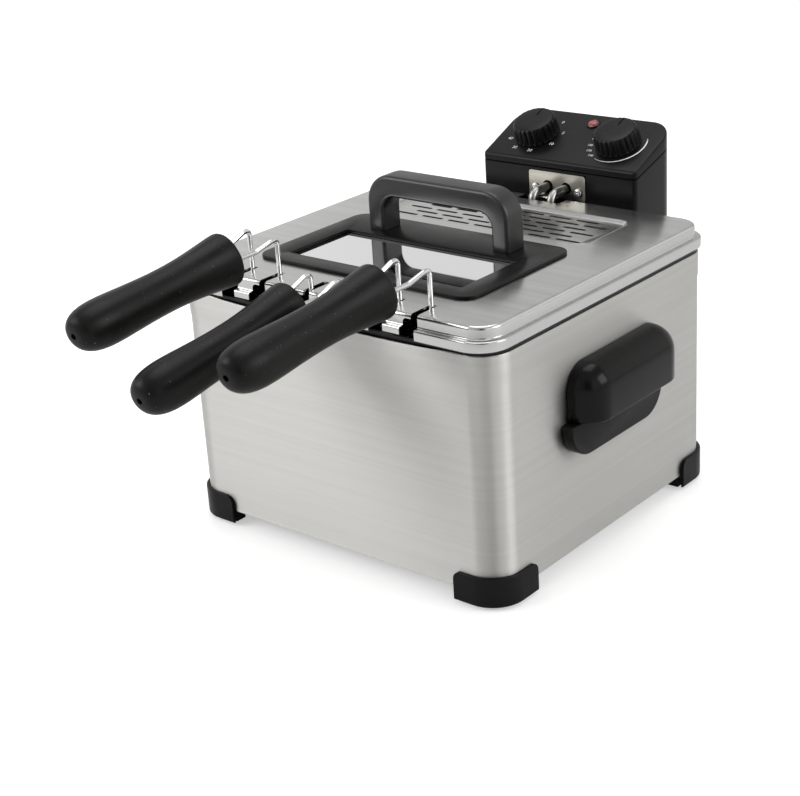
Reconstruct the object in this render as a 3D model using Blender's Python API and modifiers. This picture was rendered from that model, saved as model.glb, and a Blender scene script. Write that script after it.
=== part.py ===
"""Triple-basket electric deep fryer: steel housing, lift-out pot, lid with window, three baskets and a lift-off control unit."""
import math

import bmesh
import bpy
from mathutils import Matrix, Vector

# ---------------------------------------------------------------- driving dimensions (metres)
GAP = 0.0003                 # clearance between touching pieces
FRAME_SHIFT_Y = 0.0438       # moves the housing back so the whole fryer is centred on the origin

BODY_W, BODY_D = 0.270, 0.254
BODY_BASE, BODY_TOP = 0.011, 0.172
BODY_R = 0.021
SHEET = 0.0012
LIP = 0.010

POT_W, POT_D, POT_R = 0.2490, 0.2490, 0.030
POT_FLOOR = 0.040
POT_RIM_TOP = 0.1746

LID_W, LID_Y0, LID_Y1 = 0.2715, -0.1300, 0.1295
LID_SKIRT, LID_LEDGE, LID_TOP = 0.1750, 0.1822, 0.1905
LID_STEP = 0.0042
SLOT_W, SLOT_BACK = 0.0052, -0.1052
KEYHOLE_W, KEYHOLE_SHIFT, TAB_LIFT = 0.0112, -0.0035, 0.0024
NOTCH_W, NOTCH_Y = 0.037, 0.1125

FRAME_W, FRAME_Y0, FRAME_Y1, FRAME_TOP = 0.1840, -0.0900, 0.0245, 0.1925
OPEN_W, OPEN_Y0, OPEN_Y1 = 0.148, -0.0747, -0.0142
GLASS_TOP, GLASS_T = 0.1901, 0.0030

HANDLE_W, HANDLE_Y0, HANDLE_Y1 = 0.1214, -0.0066, 0.0131
HANDLE_TOP, HANDLE_UNDER, HANDLE_LEG = 0.2331, 0.2178, 0.0142

VENT_W, VENT_Y0, VENT_Y1, VENT_DEPTH = 0.1808, 0.0386, 0.1004, 0.0022
VENT_ROWS, VENT_SLOT_L, VENT_SLOT_W, VENT_PITCH = 6, 0.0200, 0.0016, 0.0235

UNIT_W, UNIT_Y0, UNIT_Y1, UNIT_Z0 = 0.136, 0.1385, 0.1950, 0.095
UNIT_R, UNIT_WALL = 0.019, 0.0022
PANEL_TILT, SEAM_TILT = math.radians(22.8), math.radians(16.8)
PANEL_Z, SEAM_Z = 0.2129, 0.2072     # heights of the panel and of the seam at UNIT_Y0
KNOB_X, KNOB_Y, KNOB_R, KNOB_H = 0.0362, 0.1660, 0.0173, 0.0135
SHAFT_R = 0.0030
LAMP_X, LAMP_Y, LAMP_R = 0.0030, 0.1835, 0.0054
PLATE_W, PLATE_Z0, PLATE_Z1 = 0.0500, 0.1860, 0.2050
TUBE_X, TUBE_Z, TUBE_R, TUBE_DROP_Y = 0.0082, 0.1942, 0.0032, 0.1180
ELEMENT_Z, ELEMENT_X, ELEMENT_Y = 0.0500, 0.0880, 0.0850
PROBE_Z, PROBE_EXIT_Z = 0.0600, 0.1878

HOOD_Y0, HOOD_Y1, HOOD_OUT, HOOD_Z0, HOOD_Z1 = -0.0500, 0.0600, 0.0210, 0.1045, 0.1420
GRIP_PLATE_Y0, GRIP_PLATE_Y1, GRIP_PLATE_Z0, GRIP_PLATE_T = -0.0560, 0.0510, 0.0795, 0.0080

FOOT_X, FOOT_Y = 0.0990, 0.0895

PAIR_X, PAIR_SPACING = 0.0640, 0.0250
WIRE_R, WIRE_BEND, WIRE_RISE = 0.0017, 0.0032, 0.0045
SIDE_GRIP_Y, MIDDLE_GRIP_Y = -0.1415, -0.1515

MAIN = bpy.data.collections.new("deep_fryer")
CUTTERS = bpy.data.collections.new("cutters")
AXES = {"X": Vector((1, 0, 0)), "Y": Vector((0, 1, 0)), "Z": Vector((0, 0, 1))}


# ---------------------------------------------------------------- helpers
def clear_scene():
    for obj in list(bpy.data.objects):
        bpy.data.objects.remove(obj, do_unlink=True)
    bpy.context.scene.collection.children.link(MAIN)
    bpy.context.scene.collection.children.link(CUTTERS)


def material(name, colour, roughness, metallic=0.0):
    """A Principled material, made once for each name."""
    found = bpy.data.materials.get(name)
    if found:
        return found
    made = bpy.data.materials.new(name)
    made.use_nodes = True
    shader = made.node_tree.nodes["Principled BSDF"]
    shader.inputs["Base Color"].default_value = (*colour, 1.0)
    shader.inputs["Roughness"].default_value = roughness
    shader.inputs["Metallic"].default_value = metallic
    return made


def steel(tag):
    return material("steel_" + tag, (0.62, 0.61, 0.59), 0.30, 1.0)


def chrome(tag):
    return material("chrome_" + tag, (0.80, 0.80, 0.80), 0.10, 1.0)


def black(tag):
    return material("black_" + tag, (0.018, 0.017, 0.017), 0.38)


def rubber(tag):
    return material("rubber_" + tag, (0.012, 0.012, 0.012), 0.85)


def enamel(tag):
    return material("enamel_" + tag, (0.02, 0.02, 0.022), 0.25)


def finish(obj, mat=None, smooth=True):
    """Material and shading for a part, or guide settings for a cutter."""
    if mat is None:
        obj.hide_render = True
        obj.display_type = "WIRE"
        return obj
    obj.data.materials.append(mat)
    if smooth and obj.type == "MESH":
        obj.data.shade_smooth()
        obj.data.set_sharp_from_angle(angle=math.radians(35))
    return obj


def new_object(name, mesh, mat):
    """Links the mesh as a part under the root, or as a cutter when it has no material."""
    obj = bpy.data.objects.new(name, mesh)
    (MAIN if mat else CUTTERS).objects.link(obj)
    obj.parent = ROOT
    return finish(obj, mat)


def rounded_box(name, low, high, radius, mat=None, axis="Z", segments=5, top=None):
    """A box whose four edges along axis are rounded; top = (radius, segments) also rounds the upper rim."""
    mesh = bpy.data.meshes.new(name)
    bm = bmesh.new()
    bmesh.ops.create_cube(bm, size=1.0)
    low, high = Vector(low), Vector(high)
    for vert in bm.verts:
        vert.co = Vector(low[i] + (vert.co[i] + 0.5) * (high[i] - low[i]) for i in range(3))
    if radius:
        along = [e for e in bm.edges if (e.verts[0].co - e.verts[1].co).normalized().cross(AXES[axis]).length < 1e-4]
        bmesh.ops.bevel(bm, geom=along, offset=radius, offset_type="OFFSET", segments=segments, profile=0.5, affect="EDGES")
    if top:
        rim = [e for e in bm.edges if min(e.verts[0].co.z, e.verts[1].co.z) > high.z - 1e-6]
        bmesh.ops.bevel(bm, geom=rim, offset=top[0], offset_type="OFFSET", segments=top[1], profile=0.5, affect="EDGES")
    bmesh.ops.recalc_face_normals(bm, faces=bm.faces)
    bm.to_mesh(mesh)
    bm.free()
    return new_object(name, mesh, mat)


def cylinder(name, centre, radius, depth, mat=None, direction=(0, 0, 1), segments=20, radius_top=None):
    """A capped cylinder or cone centred on a point, along a direction."""
    mesh = bpy.data.meshes.new(name)
    bm = bmesh.new()
    end = radius if radius_top is None else radius_top
    bmesh.ops.create_cone(bm, cap_ends=True, segments=segments, radius1=radius, radius2=end, depth=depth)
    bm.to_mesh(mesh)
    bm.free()
    obj = new_object(name, mesh, mat)
    obj.rotation_mode = "QUATERNION"
    obj.rotation_quaternion = Vector(direction).to_track_quat("Z", "Y")
    obj.location = centre
    return obj


def turned(name, profile, mat, centre, direction, steps=28):
    """A turned piece: the (radius, height) profile runs down its outer side, and the axis leaves along direction."""
    mesh = bpy.data.meshes.new(name)
    bm = bmesh.new()
    verts = [bm.verts.new((r, 0, z)) for r, z in profile]
    for a, b in zip(verts, verts[1:]):
        bm.edges.new((a, b))
    bm.to_mesh(mesh)
    bm.free()
    obj = new_object(name, mesh, mat)
    screw = obj.modifiers.new("Screw", "SCREW")
    screw.steps = screw.render_steps = steps
    screw.use_merge_vertices = True
    screw.merge_threshold = 0.00001
    screw.use_smooth_shade = True
    obj.rotation_mode = "QUATERNION"
    obj.rotation_quaternion = Vector(direction).to_track_quat("Z", "Y")
    obj.location = centre
    return obj


def boolean(obj, other, operation="DIFFERENCE"):
    modifier = obj.modifiers.new(operation.title(), "BOOLEAN")
    modifier.operation = operation
    modifier.solver = "EXACT"
    modifier.object = other
    return obj


def cut_box(obj, low, high, radius=0.0, axis="Z", segments=4, operation="DIFFERENCE"):
    """Cuts (or keeps) a rounded box out of the object."""
    cutter = rounded_box(f"{obj.name}_cut{len(obj.modifiers)}", low, high, radius, None, axis, segments)
    return boolean(obj, cutter, operation)


def join_box(obj, low, high, radius=0.0, axis="Z", segments=4):
    return cut_box(obj, low, high, radius, axis, segments, "UNION")


def cut_hole(obj, centre, radius, depth, direction=(0, 0, 1), segments=16):
    return boolean(obj, cylinder(f"{obj.name}_hole{len(obj.modifiers)}", centre, radius, depth, None, direction, segments))


def fillet(points, radius, steps=3):
    """The polyline with each inner corner replaced by an arc of the given radius."""
    points = [Vector(p) for p in points]
    path = [points[0]]
    for before, corner, after in zip(points, points[1:], points[2:]):
        into, out = (corner - before).normalized(), (after - corner).normalized()
        half_turn = into.angle(out) / 2
        reach = radius * math.tan(half_turn)
        bisector = (out - into).normalized()
        centre = corner + bisector * (radius / math.cos(half_turn))
        start = corner - into * reach - centre
        normal = into.cross(out).normalized()
        for step in range(steps + 1):
            turn = Matrix.Rotation(2 * half_turn * step / steps, 3, normal)
            path.append(centre + turn @ start)
    return path + [points[-1]]


def tube(name, points, radius, mat, resolution=2, cyclic=False):
    """A round bar along a polyline."""
    curve = bpy.data.curves.new(name, "CURVE")
    curve.dimensions = "3D"
    curve.bevel_depth = radius
    curve.bevel_resolution = resolution
    curve.use_fill_caps = True
    spline = curve.splines.new("POLY")
    spline.points.add(len(points) - 1)
    for point, co in zip(spline.points, points):
        point.co = (*co, 1.0)
    spline.use_cyclic_u = cyclic
    obj = bpy.data.objects.new(name, curve)
    MAIN.objects.link(obj)
    obj.parent = ROOT
    curve.materials.append(mat)
    return obj


def half_space(name, point_z, tilt, above=True):
    """A big tilted block whose face passes through height point_z at UNIT_Y0 and climbs towards the rear."""
    size = 0.4
    cutter = rounded_box(name, (-size / 2, -size / 2, 0), (size / 2, size / 2, size / 2), 0)
    if not above:
        cutter.data.transform(Matrix.Translation((0, 0, -size / 2)))
    cutter.rotation_euler = (tilt, 0, 0)
    cutter.location = (0, UNIT_Y0, point_z)
    return cutter


def panel_point(x, y, lift=0.0):
    """A point on the sloping panel, moved out along its normal."""
    z = PANEL_Z + (y - UNIT_Y0) * math.tan(PANEL_TILT)
    return Vector((x, y, z)) + PANEL_NORMAL * lift


PANEL_NORMAL = Vector((0, -math.sin(PANEL_TILT), math.cos(PANEL_TILT)))


# ---------------------------------------------------------------- housing
def body_box(name, grow, low_z, high_z, mat=None, segments=5):
    """The housing's plan outline, offset outwards by grow."""
    x, y = BODY_W / 2 + grow, BODY_D / 2 + grow
    return rounded_box(name, (-x, -y, low_z), (x, y, high_z), BODY_R + grow, mat, "Z", segments)


def make_housing():
    shell = body_box("housing_shell", 0, BODY_BASE, BODY_TOP, steel("housing"))
    boolean(shell, body_box("housing_inside", -SHEET, BODY_BASE + SHEET, BODY_TOP + 0.01))
    boolean(shell, body_box("housing_floor_opening", -LIP, BODY_BASE - 0.01, BODY_BASE + 0.02))
    front = (-0.095, -BODY_D / 2 - 0.005, BODY_TOP - 0.0022), (0.095, -BODY_D / 2 + 0.004, BODY_TOP + 0.01)
    cut_box(shell, *front)
    base = body_box("base_plate", -SHEET - 0.0012, BODY_BASE + SHEET + GAP, BODY_BASE + SHEET + GAP + 0.0015, black("base"))
    for side in (-1, 1):
        for row in range(4):
            y = -0.045 + row * 0.030
            cut_box(base, (side * 0.055 - 0.025, y - 0.003, 0), (side * 0.055 + 0.025, y + 0.003, 0.03))


def make_foot(name, sx, sy):
    """A wrap-around corner foot: a wall outside the sheet, and a shelf under it that holds the rubber pad."""
    foot = body_box(name, 0.0024, 0.0020, 0.0245, black("foot"))
    boolean(foot, body_box(name + "_sheet", GAP, BODY_BASE - GAP, 0.05))
    boolean(foot, body_box(name + "_cup", GAP, -0.01, 0.0084))
    far = 0.170
    x0, x1 = sorted((sx * FOOT_X, sx * far))
    y0, y1 = sorted((sy * FOOT_Y, sy * far))
    cut_box(foot, (x0, -far, -0.03), (x1, far, 0.0232), 0.006, "Y", 3, "INTERSECT")
    cut_box(foot, (-far, y0, -0.03), (far, y1, 0.0232), 0.006, "X", 3, "INTERSECT")


def make_pad(name, sx, sy):
    """A rubber strip bent round the corner inside the foot."""
    pad = body_box(name, -0.0040, 0, 0.0084 - GAP, rubber("pad"))
    boolean(pad, body_box(name + "_inside", -0.0130, -0.01, 0.02))
    x0, x1 = sorted((sx * (FOOT_X + 0.0035), sx * 0.170))
    y0, y1 = sorted((sy * (FOOT_Y + 0.0025), sy * 0.170))
    cut_box(pad, (x0, y0, -0.01), (x1, y1, 0.02), operation="INTERSECT")


def make_side_handle(name, side):
    """A moulded scoop handle: a domed hood over a backing block, open below for the fingers."""
    wall = BODY_W / 2 + GAP
    hood_mat, plate_mat = black("hood"), black("handle_plate")

    def dome(tag, shrink, mat):
        reach = wall + HOOD_OUT - shrink
        low = (wall - 0.030, HOOD_Y0 + shrink, HOOD_Z0 - 0.05)
        obj = rounded_box(tag, low, (reach, HOOD_Y1 - shrink, HOOD_Z1 - shrink), 0.020 - shrink, mat, "Z", 5, (0.0175 - shrink, 5))
        if side < 0:
            mirror_x(obj)
        return obj

    hood = dome(name + "_hood", 0.0, hood_mat)
    boolean(hood, dome(name + "_hollow", 0.0028, None))
    inner = sorted((side * wall, side * 0.05))
    cut_box(hood, (inner[0], -0.1, 0.02), (inner[1], 0.1, 0.2))
    cut_box(hood, (-0.2, -0.1, 0.0), (0.2, 0.1, HOOD_Z0))
    x0, x1 = sorted((side * wall, side * (wall + GRIP_PLATE_T)))
    low = (x0, GRIP_PLATE_Y0, GRIP_PLATE_Z0)
    plate = rounded_box(name + "_plate", low, (x1, GRIP_PLATE_Y1, HOOD_Z0 + 0.03), 0.021, plate_mat, "X", 5)
    cut_box(plate, (-0.2, -0.1, HOOD_Z0 - GAP), (0.2, 0.1, 0.2))
    x0, x1 = sorted((side * wall, side * (wall + 0.0020)))
    join_box(plate, (x0, HOOD_Y0 + 0.008, HOOD_Z0 - 0.004), (x1, HOOD_Y1 - 0.012, HOOD_Z1 - 0.010))


def mirror_x(obj):
    obj.data.transform(Matrix.Scale(-1, 4, Vector((1, 0, 0))))
    obj.data.flip_normals()


def make_rear_guide():
    """A steel bracket on the housing's back with two upright rails that the control unit slides down over."""
    y0 = BODY_D / 2 + GAP
    guide = rounded_box("rear_guide", (-0.045, y0, 0.105), (0.045, y0 + 0.0020, 0.165), 0.004, steel("guide"), "Y", 3)
    for side in (-1, 1):
        join_box(guide, (side * 0.036 - 0.003, y0 + 0.001, 0.110), (side * 0.036 + 0.003, UNIT_Y0 - 0.0006, 0.160))


# ---------------------------------------------------------------- pot
def make_pot():
    x, y = POT_W / 2, POT_D / 2
    pot = rounded_box("oil_pot", (-x, -y, POT_FLOOR), (x, y, POT_RIM_TOP - 0.0005), POT_R, enamel("pot"), "Z", 5)
    rim = body_box("pot_rim", -0.0010, BODY_TOP + GAP, POT_RIM_TOP)
    boolean(pot, rim, "UNION")
    wall = 0.0014
    low, high = (-x + wall, -y + wall, POT_FLOOR + wall), (x - wall, y - wall, POT_RIM_TOP + 0.02)
    cut_box(pot, low, high, POT_R - wall, "Z", 5)


# ---------------------------------------------------------------- lid
def lid_stack(name, shrink, low_z, mat=None):
    """The stepped lid volume: a skirt block with a smaller plateau block on it."""
    x, y0, y1 = LID_W / 2 - shrink, LID_Y0 + shrink, LID_Y1 - shrink
    skirt_top, plateau = LID_LEDGE - shrink, LID_TOP - shrink
    radius = BODY_R - shrink
    lid = rounded_box(name, (-x, y0, low_z), (x, y1, skirt_top), radius, mat, "Z", 5)
    s = LID_STEP
    low, high = (-x + s, y0 + s, low_z + 0.0004), (x - s, y1 - s, plateau)
    upper = rounded_box(name + "_plateau", low, high, radius - s, None, "Z", 5, (0.0022, 2))
    return boolean(lid, upper, "UNION")


def slot_positions():
    """The X of each lid slot and the basket wire that passes through it."""
    for centre in (-PAIR_X, 0.0, PAIR_X):
        for side in (-1, 1):
            yield centre + side * PAIR_SPACING / 2


def make_lid():
    lid = lid_stack("lid_panel", 0, LID_SKIRT, steel("lid"))
    boolean(lid, lid_stack("lid_inside", SHEET, LID_SKIRT - 0.01))
    far_z = LID_TOP + 0.02
    collar_x, collar_y0, collar_y1 = OPEN_W / 2 + 0.0080, OPEN_Y0 - 0.0080, OPEN_Y1 + 0.0080
    low = (-collar_x - GAP, collar_y0 - GAP, LID_SKIRT)
    cut_box(lid, low, (collar_x + GAP, collar_y1 + GAP, far_z), 0.006, "Z", 3)
    cut_box(lid, (-VENT_W / 2, VENT_Y0, LID_SKIRT), (VENT_W / 2, VENT_Y1, far_z), 0.010, "Z", 4)
    half = NOTCH_W / 2
    cut_box(lid, (-half, NOTCH_Y, LID_SKIRT - 0.01), (half, NOTCH_Y + 0.05, far_z))
    for index, x in enumerate(slot_positions()):
        if index % 2:
            tab_low = (x - PAIR_SPACING + KEYHOLE_SHIFT, LID_Y0 - 0.01, LID_SKIRT - 0.01)
            cut_box(lid, tab_low, (x + KEYHOLE_SHIFT, LID_Y0 + LID_STEP, LID_SKIRT + TAB_LIFT))
        slit = rounded_box(f"slit{index}", (x - SLOT_W / 2, LID_Y0 - 0.01, LID_SKIRT - 0.01), (x + SLOT_W / 2, SLOT_BACK, far_z), 0)
        middle, back = x + KEYHOLE_SHIFT, LID_Y0 + LID_STEP + 0.0012
        key_low = (middle - KEYHOLE_W / 2, LID_Y0 - 0.01, LID_SKIRT - 0.012)
        key = rounded_box(f"key{index}", key_low, (middle + KEYHOLE_W / 2, back, LID_TOP - 0.0035), 0)
        boolean(slit, key, "UNION")
        boolean(lid, slit)
    for side in (-1, 1):
        cut_hole(lid, (side * 0.0535, 0.00325, LID_TOP), 0.0022, 0.02)


def make_vent():
    """The recessed grille: a thin tray under the lid's opening with rows of staggered slots."""
    x, lip = VENT_W / 2, 0.005
    top = LID_TOP - VENT_DEPTH
    tray = rounded_box("vent_grille", (-x + GAP, VENT_Y0 + GAP, top - 0.0010), (x - GAP, VENT_Y1 - GAP, top), 0.0098, steel("vent"), "Z", 4)
    flange_low = (-x - lip, VENT_Y0 - lip, top - 0.0020)
    join_box(tray, flange_low, (x + lip, VENT_Y1 + lip, top - 0.0006), 0.012)
    row_step = (VENT_Y1 - VENT_Y0 - 0.0190) / (VENT_ROWS - 1)
    for row in range(VENT_ROWS):
        y = VENT_Y0 + 0.0095 + row * row_step
        shift = VENT_PITCH / 2 if row % 2 else 0.0
        count = 6 if row % 2 else 7
        for column in range(count):
            centre = (column - (count - 1) / 2) * VENT_PITCH
            low = (centre - VENT_SLOT_L / 2, y - VENT_SLOT_W / 2, top - 0.01)
            cut_box(tray, low, (centre + VENT_SLOT_L / 2, y + VENT_SLOT_W / 2, top + 0.01))


def make_filter():
    """The grease filter pad and the tray that holds it up against the grille."""
    x, top = VENT_W / 2 - 0.006, LID_TOP - VENT_DEPTH - 0.0020 - GAP
    y0, y1 = VENT_Y0 + 0.006, VENT_Y1 - 0.006
    rounded_box("filter_pad", (-x, y0, top - 0.0045), (x, y1, top), 0.006, material("filter_felt", (0.75, 0.74, 0.70), 0.95), "Z", 3)
    low = (-x - 0.003, y0 - 0.003, top - 0.0045 - GAP - 0.0010)
    tray = rounded_box("filter_tray", low, (x + 0.003, y1 + 0.003, top), 0.008, steel("filter_tray"), "Z", 3)
    cut_box(tray, (-x - GAP * 2, y0 - GAP * 2, top - 0.0045 - GAP), (x + GAP * 2, y1 + GAP * 2, top + 0.01), 0.006, "Z", 3)
    for column in range(5):
        centre = (column - 2) * 0.033
        cut_box(tray, (centre - 0.012, y0 + 0.008, 0.17), (centre + 0.012, y1 - 0.008, 0.185))


def make_window():
    mat = black("window_frame")
    top, base = FRAME_TOP, LID_TOP + GAP
    frame = rounded_box("window_frame", (-FRAME_W / 2, FRAME_Y0, base), (FRAME_W / 2, FRAME_Y1, top), 0.012, mat, "Z", 4)
    x, y0, y1 = OPEN_W / 2, OPEN_Y0, OPEN_Y1
    join_box(frame, (-x - 0.008, y0 - 0.008, 0.1795), (x + 0.008, y1 + 0.008, base + 0.001), 0.006, "Z", 3)
    cut_box(frame, (-x, y0, 0.17), (x, y1, 0.21))
    pane = 0.0045
    cut_box(frame, (-x - pane, y0 - pane, 0.17), (x + pane, y1 + pane, GLASS_TOP + GAP))
    for side in (-1, 1):
        cut_hole(frame, (side * 0.0535, 0.00325, LID_TOP), 0.0022, 0.02)
    edge = pane - GAP * 2
    glass = material("window_glass", (0.85, 0.87, 0.88), 0.03)
    rounded_box("window_glass", (-x - edge, y0 - edge, GLASS_TOP - GLASS_T), (x + edge, y1 + edge, GLASS_TOP), 0.001, glass, "Z", 2)
    low, high = (-x - edge, y0 - edge, GLASS_TOP - GLASS_T - 0.0020), (x + edge, y1 + edge, GLASS_TOP - GLASS_T - GAP)
    seal = rounded_box("window_seal", low, high, 0.001, rubber("seal"), "Z", 2)
    cut_box(seal, (-x + 0.002, y0 + 0.002, 0.17), (x - 0.002, y1 - 0.002, 0.2))


def make_lid_handle():
    """A U-shaped grip standing on the window frame's rear bar, held by two screws from inside the lid."""
    x = HANDLE_W / 2
    base = FRAME_TOP + GAP
    handle = rounded_box("lid_handle", (-x, HANDLE_Y0, base - 0.05), (x, HANDLE_Y1, HANDLE_TOP), 0.020, black("lid_handle"), "Y", 6)
    inner_x = x - HANDLE_LEG
    cut_box(handle, (-inner_x, -0.1, base - 0.1), (inner_x, 0.1, HANDLE_UNDER), 0.010, "Y", 4)
    cut_box(handle, (-0.1, -0.1, 0.10), (0.1, 0.1, base))
    bevel = handle.modifiers.new("Bevel", "BEVEL")
    bevel.width, bevel.segments = 0.0022, 2
    bevel.limit_method, bevel.angle_limit = "ANGLE", math.radians(50)
    for index, side in enumerate((-1, 1)):
        centre = (side * 0.0535, 0.00325, base)
        cut_hole(handle, centre, 0.0022, 0.032)
        screw = cylinder(f"handle_screw_{index + 1}", (centre[0], centre[1], 0.1947), 0.0018, 0.0150, steel("screw"), segments=14)
        head = cylinder(f"screw_head{index}", (centre[0], centre[1], LID_TOP - SHEET - GAP - 0.0011), 0.0038, 0.0022, None, segments=18)
        boolean(screw, head, "UNION")


# ---------------------------------------------------------------- baskets
def make_basket(name, low, high, radius, wall=0.0020):
    basket = rounded_box(name, low, high, radius, steel("basket"), "Z", 4)
    inner_low = (low[0] + wall, low[1] + wall, low[2] + wall)
    cut_box(basket, inner_low, (high[0] - wall, high[1] - wall, high[2] + 0.02), radius - wall)


def make_wires(name, centre_x, drop_y, hump_z, exit_y, low_z, sag=0.0):
    """One bent rod: out of the grip, up in an S to a hump, down, across and back the same way, the +X side lower by sag."""
    exit_z = hump_z - WIRE_RISE
    path = []
    for side in (-1, 1):
        x = centre_x + side * PAIR_SPACING / 2
        hump = hump_z + 0.0015 - (sag if side > 0 else 0)
        run = [(x, exit_y, exit_z), (x, drop_y - 0.0205, exit_z), (x, drop_y - 0.0062, hump - 0.0004)]
        run += [(x, drop_y, hump), (x, drop_y, low_z)]
        path += run if side < 0 else run[::-1]
    tube(name, fillet(path, WIRE_BEND, 3), WIRE_R, chrome("wire"))


GRIP_SECTIONS = (
    # distance from the wire end, half width, half height
    (0.000, 0.0162, 0.0192),
    (0.003, 0.0170, 0.0201),
    (0.018, 0.0156, 0.0180),
    (0.042, 0.0136, 0.0152),
    (0.066, 0.0134, 0.0148),
    (0.090, 0.0148, 0.0158),
    (0.110, 0.0162, 0.0168),
    (0.123, 0.0150, 0.0152),
    (0.1305, 0.0110, 0.0112),
    (0.1330, 0.0055, 0.0056),
)
GRIP_RAKE = 0.10             # radians by which the grip's sections lean towards its free end


def make_grip(name, centre_x, face_y, face_z, droop):
    """A moulded grip lofted along its length: flared at the wires, waisted, and round at the free end."""
    mesh = bpy.data.meshes.new(name)
    bm = bmesh.new()
    sides = 12
    rings = []
    for distance, wide, tall in GRIP_SECTIONS:
        centre = Vector((centre_x, face_y - distance * math.cos(droop), face_z - distance * math.sin(droop)))
        ring = []
        for step in range(sides):
            angle = 2 * math.pi * (step + 0.5) / sides
            up = tall * math.sin(angle)
            lean = droop + GRIP_RAKE
            ring.append(bm.verts.new(centre + Vector((wide * math.cos(angle), -up * math.sin(lean), up * math.cos(lean)))))
        rings.append(ring)
    for ring, following in zip(rings, rings[1:]):
        for step in range(sides):
            after = (step + 1) % sides
            bm.faces.new((ring[step], ring[after], following[after], following[step]))
    bm.faces.new(rings[0][::-1])
    bm.faces.new(rings[-1])
    bmesh.ops.recalc_face_normals(bm, faces=bm.faces)
    bm.to_mesh(mesh)
    bm.free()
    obj = new_object(name, mesh, black("grip"))
    smooth = obj.modifiers.new("Subdivision", "SUBSURF")
    smooth.levels = smooth.render_levels = 1
    return obj


# ---------------------------------------------------------------- control unit
def unit_block(name, shrink, low_z, high_z, mat=None):
    """The control unit's plan: square front corners, wide round rear corners."""
    x = UNIT_W / 2 - shrink
    low, high = (-x, UNIT_Y0 - 0.06, low_z), (x, UNIT_Y1 - shrink, high_z)
    block = rounded_box(name, low, high, UNIT_R - shrink, mat, "Z", 6)
    return cut_box(block, (-0.2, -0.2, -0.1), (0.2, UNIT_Y0 + shrink, 0.5))


def make_unit_shell():
    shell = unit_block("control_housing", 0, UNIT_Z0, 0.26, black("unit"))
    boolean(shell, unit_block("unit_hollow", UNIT_WALL, UNIT_Z0 + UNIT_WALL, 0.28))
    boolean(shell, half_space("seam_plane", SEAM_Z, SEAM_TILT))
    x = PLATE_W / 2 + GAP
    recess_y = UNIT_Y0 + 0.0012
    cut_box(shell, (-x, UNIT_Y0 - 0.01, PLATE_Z0 - GAP), (x, recess_y, PLATE_Z1 + GAP))
    cut_box(shell, (-x + 0.003, UNIT_Y0 - 0.01, PLATE_Z0 + 0.0004), (x - 0.003, UNIT_Y0 + 0.01, PLATE_Z1 - 0.003))
    cut_box(shell, (-0.020, UNIT_Y1 - 0.01, 0.118), (0.020, UNIT_Y1 + 0.01, 0.144), 0.004, "Y", 3)
    cut_hole(shell, (0.036, UNIT_Y1, 0.131), 0.0044, 0.02, (0, 1, 0))
    for side in (-1, 1):
        low = (side * 0.036 - 0.0045, UNIT_Y0 - 0.01, 0.09)
        cut_box(shell, low, (side * 0.036 + 0.0045, UNIT_Y0 + 0.0006, 0.165))


def make_unit_cover():
    cover = unit_block("control_panel", 0, 0.17, 0.30, black("panel"))
    hollow = unit_block("panel_hollow", UNIT_WALL, 0.15, 0.32)
    under = half_space("panel_underside", PANEL_Z - UNIT_WALL / math.cos(PANEL_TILT), PANEL_TILT)
    boolean(hollow, under)
    boolean(cover, hollow)
    boolean(cover, half_space("panel_plane", PANEL_Z, PANEL_TILT))
    boolean(cover, half_space("seam_plane_upper", SEAM_Z + 0.0004, SEAM_TILT, above=False))
    for side in (-1, 1):
        cut_hole(cover, panel_point(side * KNOB_X, KNOB_Y), SHAFT_R + 0.0004, 0.02, PANEL_NORMAL, 20)
    cut_hole(cover, panel_point(LAMP_X, LAMP_Y), LAMP_R - 0.0008, 0.02, PANEL_NORMAL, 20)


def make_knob(name, side):
    """A turned knob with its shaft, and a pointer groove across the cap."""
    r, h, lift = KNOB_R, KNOB_H, 0.0004
    outline = [(0, h), (r - 0.0030, h), (r - 0.0016, h - 0.0008), (r - 0.0011, h - 0.0022)]
    outline += [(r, lift), (r - 0.0030, lift), (SHAFT_R + 0.0020, lift), (SHAFT_R, lift), (SHAFT_R, -0.0090), (0, -0.0090)]
    knob = turned(name, outline, black("knob"), panel_point(side * KNOB_X, KNOB_Y), PANEL_NORMAL)
    groove = rounded_box(name + "_groove", (-0.0006, 0.004, h - 0.0008), (0.0006, 0.03, h + 0.01), 0)
    groove.rotation_mode = "QUATERNION"
    groove.rotation_quaternion = PANEL_NORMAL.to_track_quat("Z", "Y")
    groove.location = knob.location
    boolean(knob, groove)


def make_mechanism(name, side, size, depth):
    """The timer or thermostat body hung under the panel, with a clearance bore for the knob's shaft."""
    mat = material("mechanism", (0.55, 0.53, 0.48), 0.5, 0.6)
    centre = panel_point(side * KNOB_X, KNOB_Y, -UNIT_WALL - 0.0005 - depth / 2)
    obj = rounded_box(name, (-size, -size, -depth / 2), (size, size, depth / 2), 0.003, mat, "Z", 2)
    obj.rotation_euler = (PANEL_TILT, 0, 0)
    obj.location = centre
    cut_hole(obj, panel_point(side * KNOB_X, KNOB_Y, -UNIT_WALL), SHAFT_R + 0.0004, 0.016, PANEL_NORMAL, 16)


def make_lamp():
    red = material("lamp_red", (0.45, 0.02, 0.01), 0.2)
    r = LAMP_R
    outline = [(0, 0.0022), (r * 0.5, 0.0020), (r * 0.85, 0.0013), (r, 0.0004), (r, 0.0003)]
    outline += [(r - 0.0012, 0.0003), (r - 0.0012, -0.0060), (0, -0.0060)]
    turned("power_lamp", outline, red, panel_point(LAMP_X, LAMP_Y), PANEL_NORMAL, 20)


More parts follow.
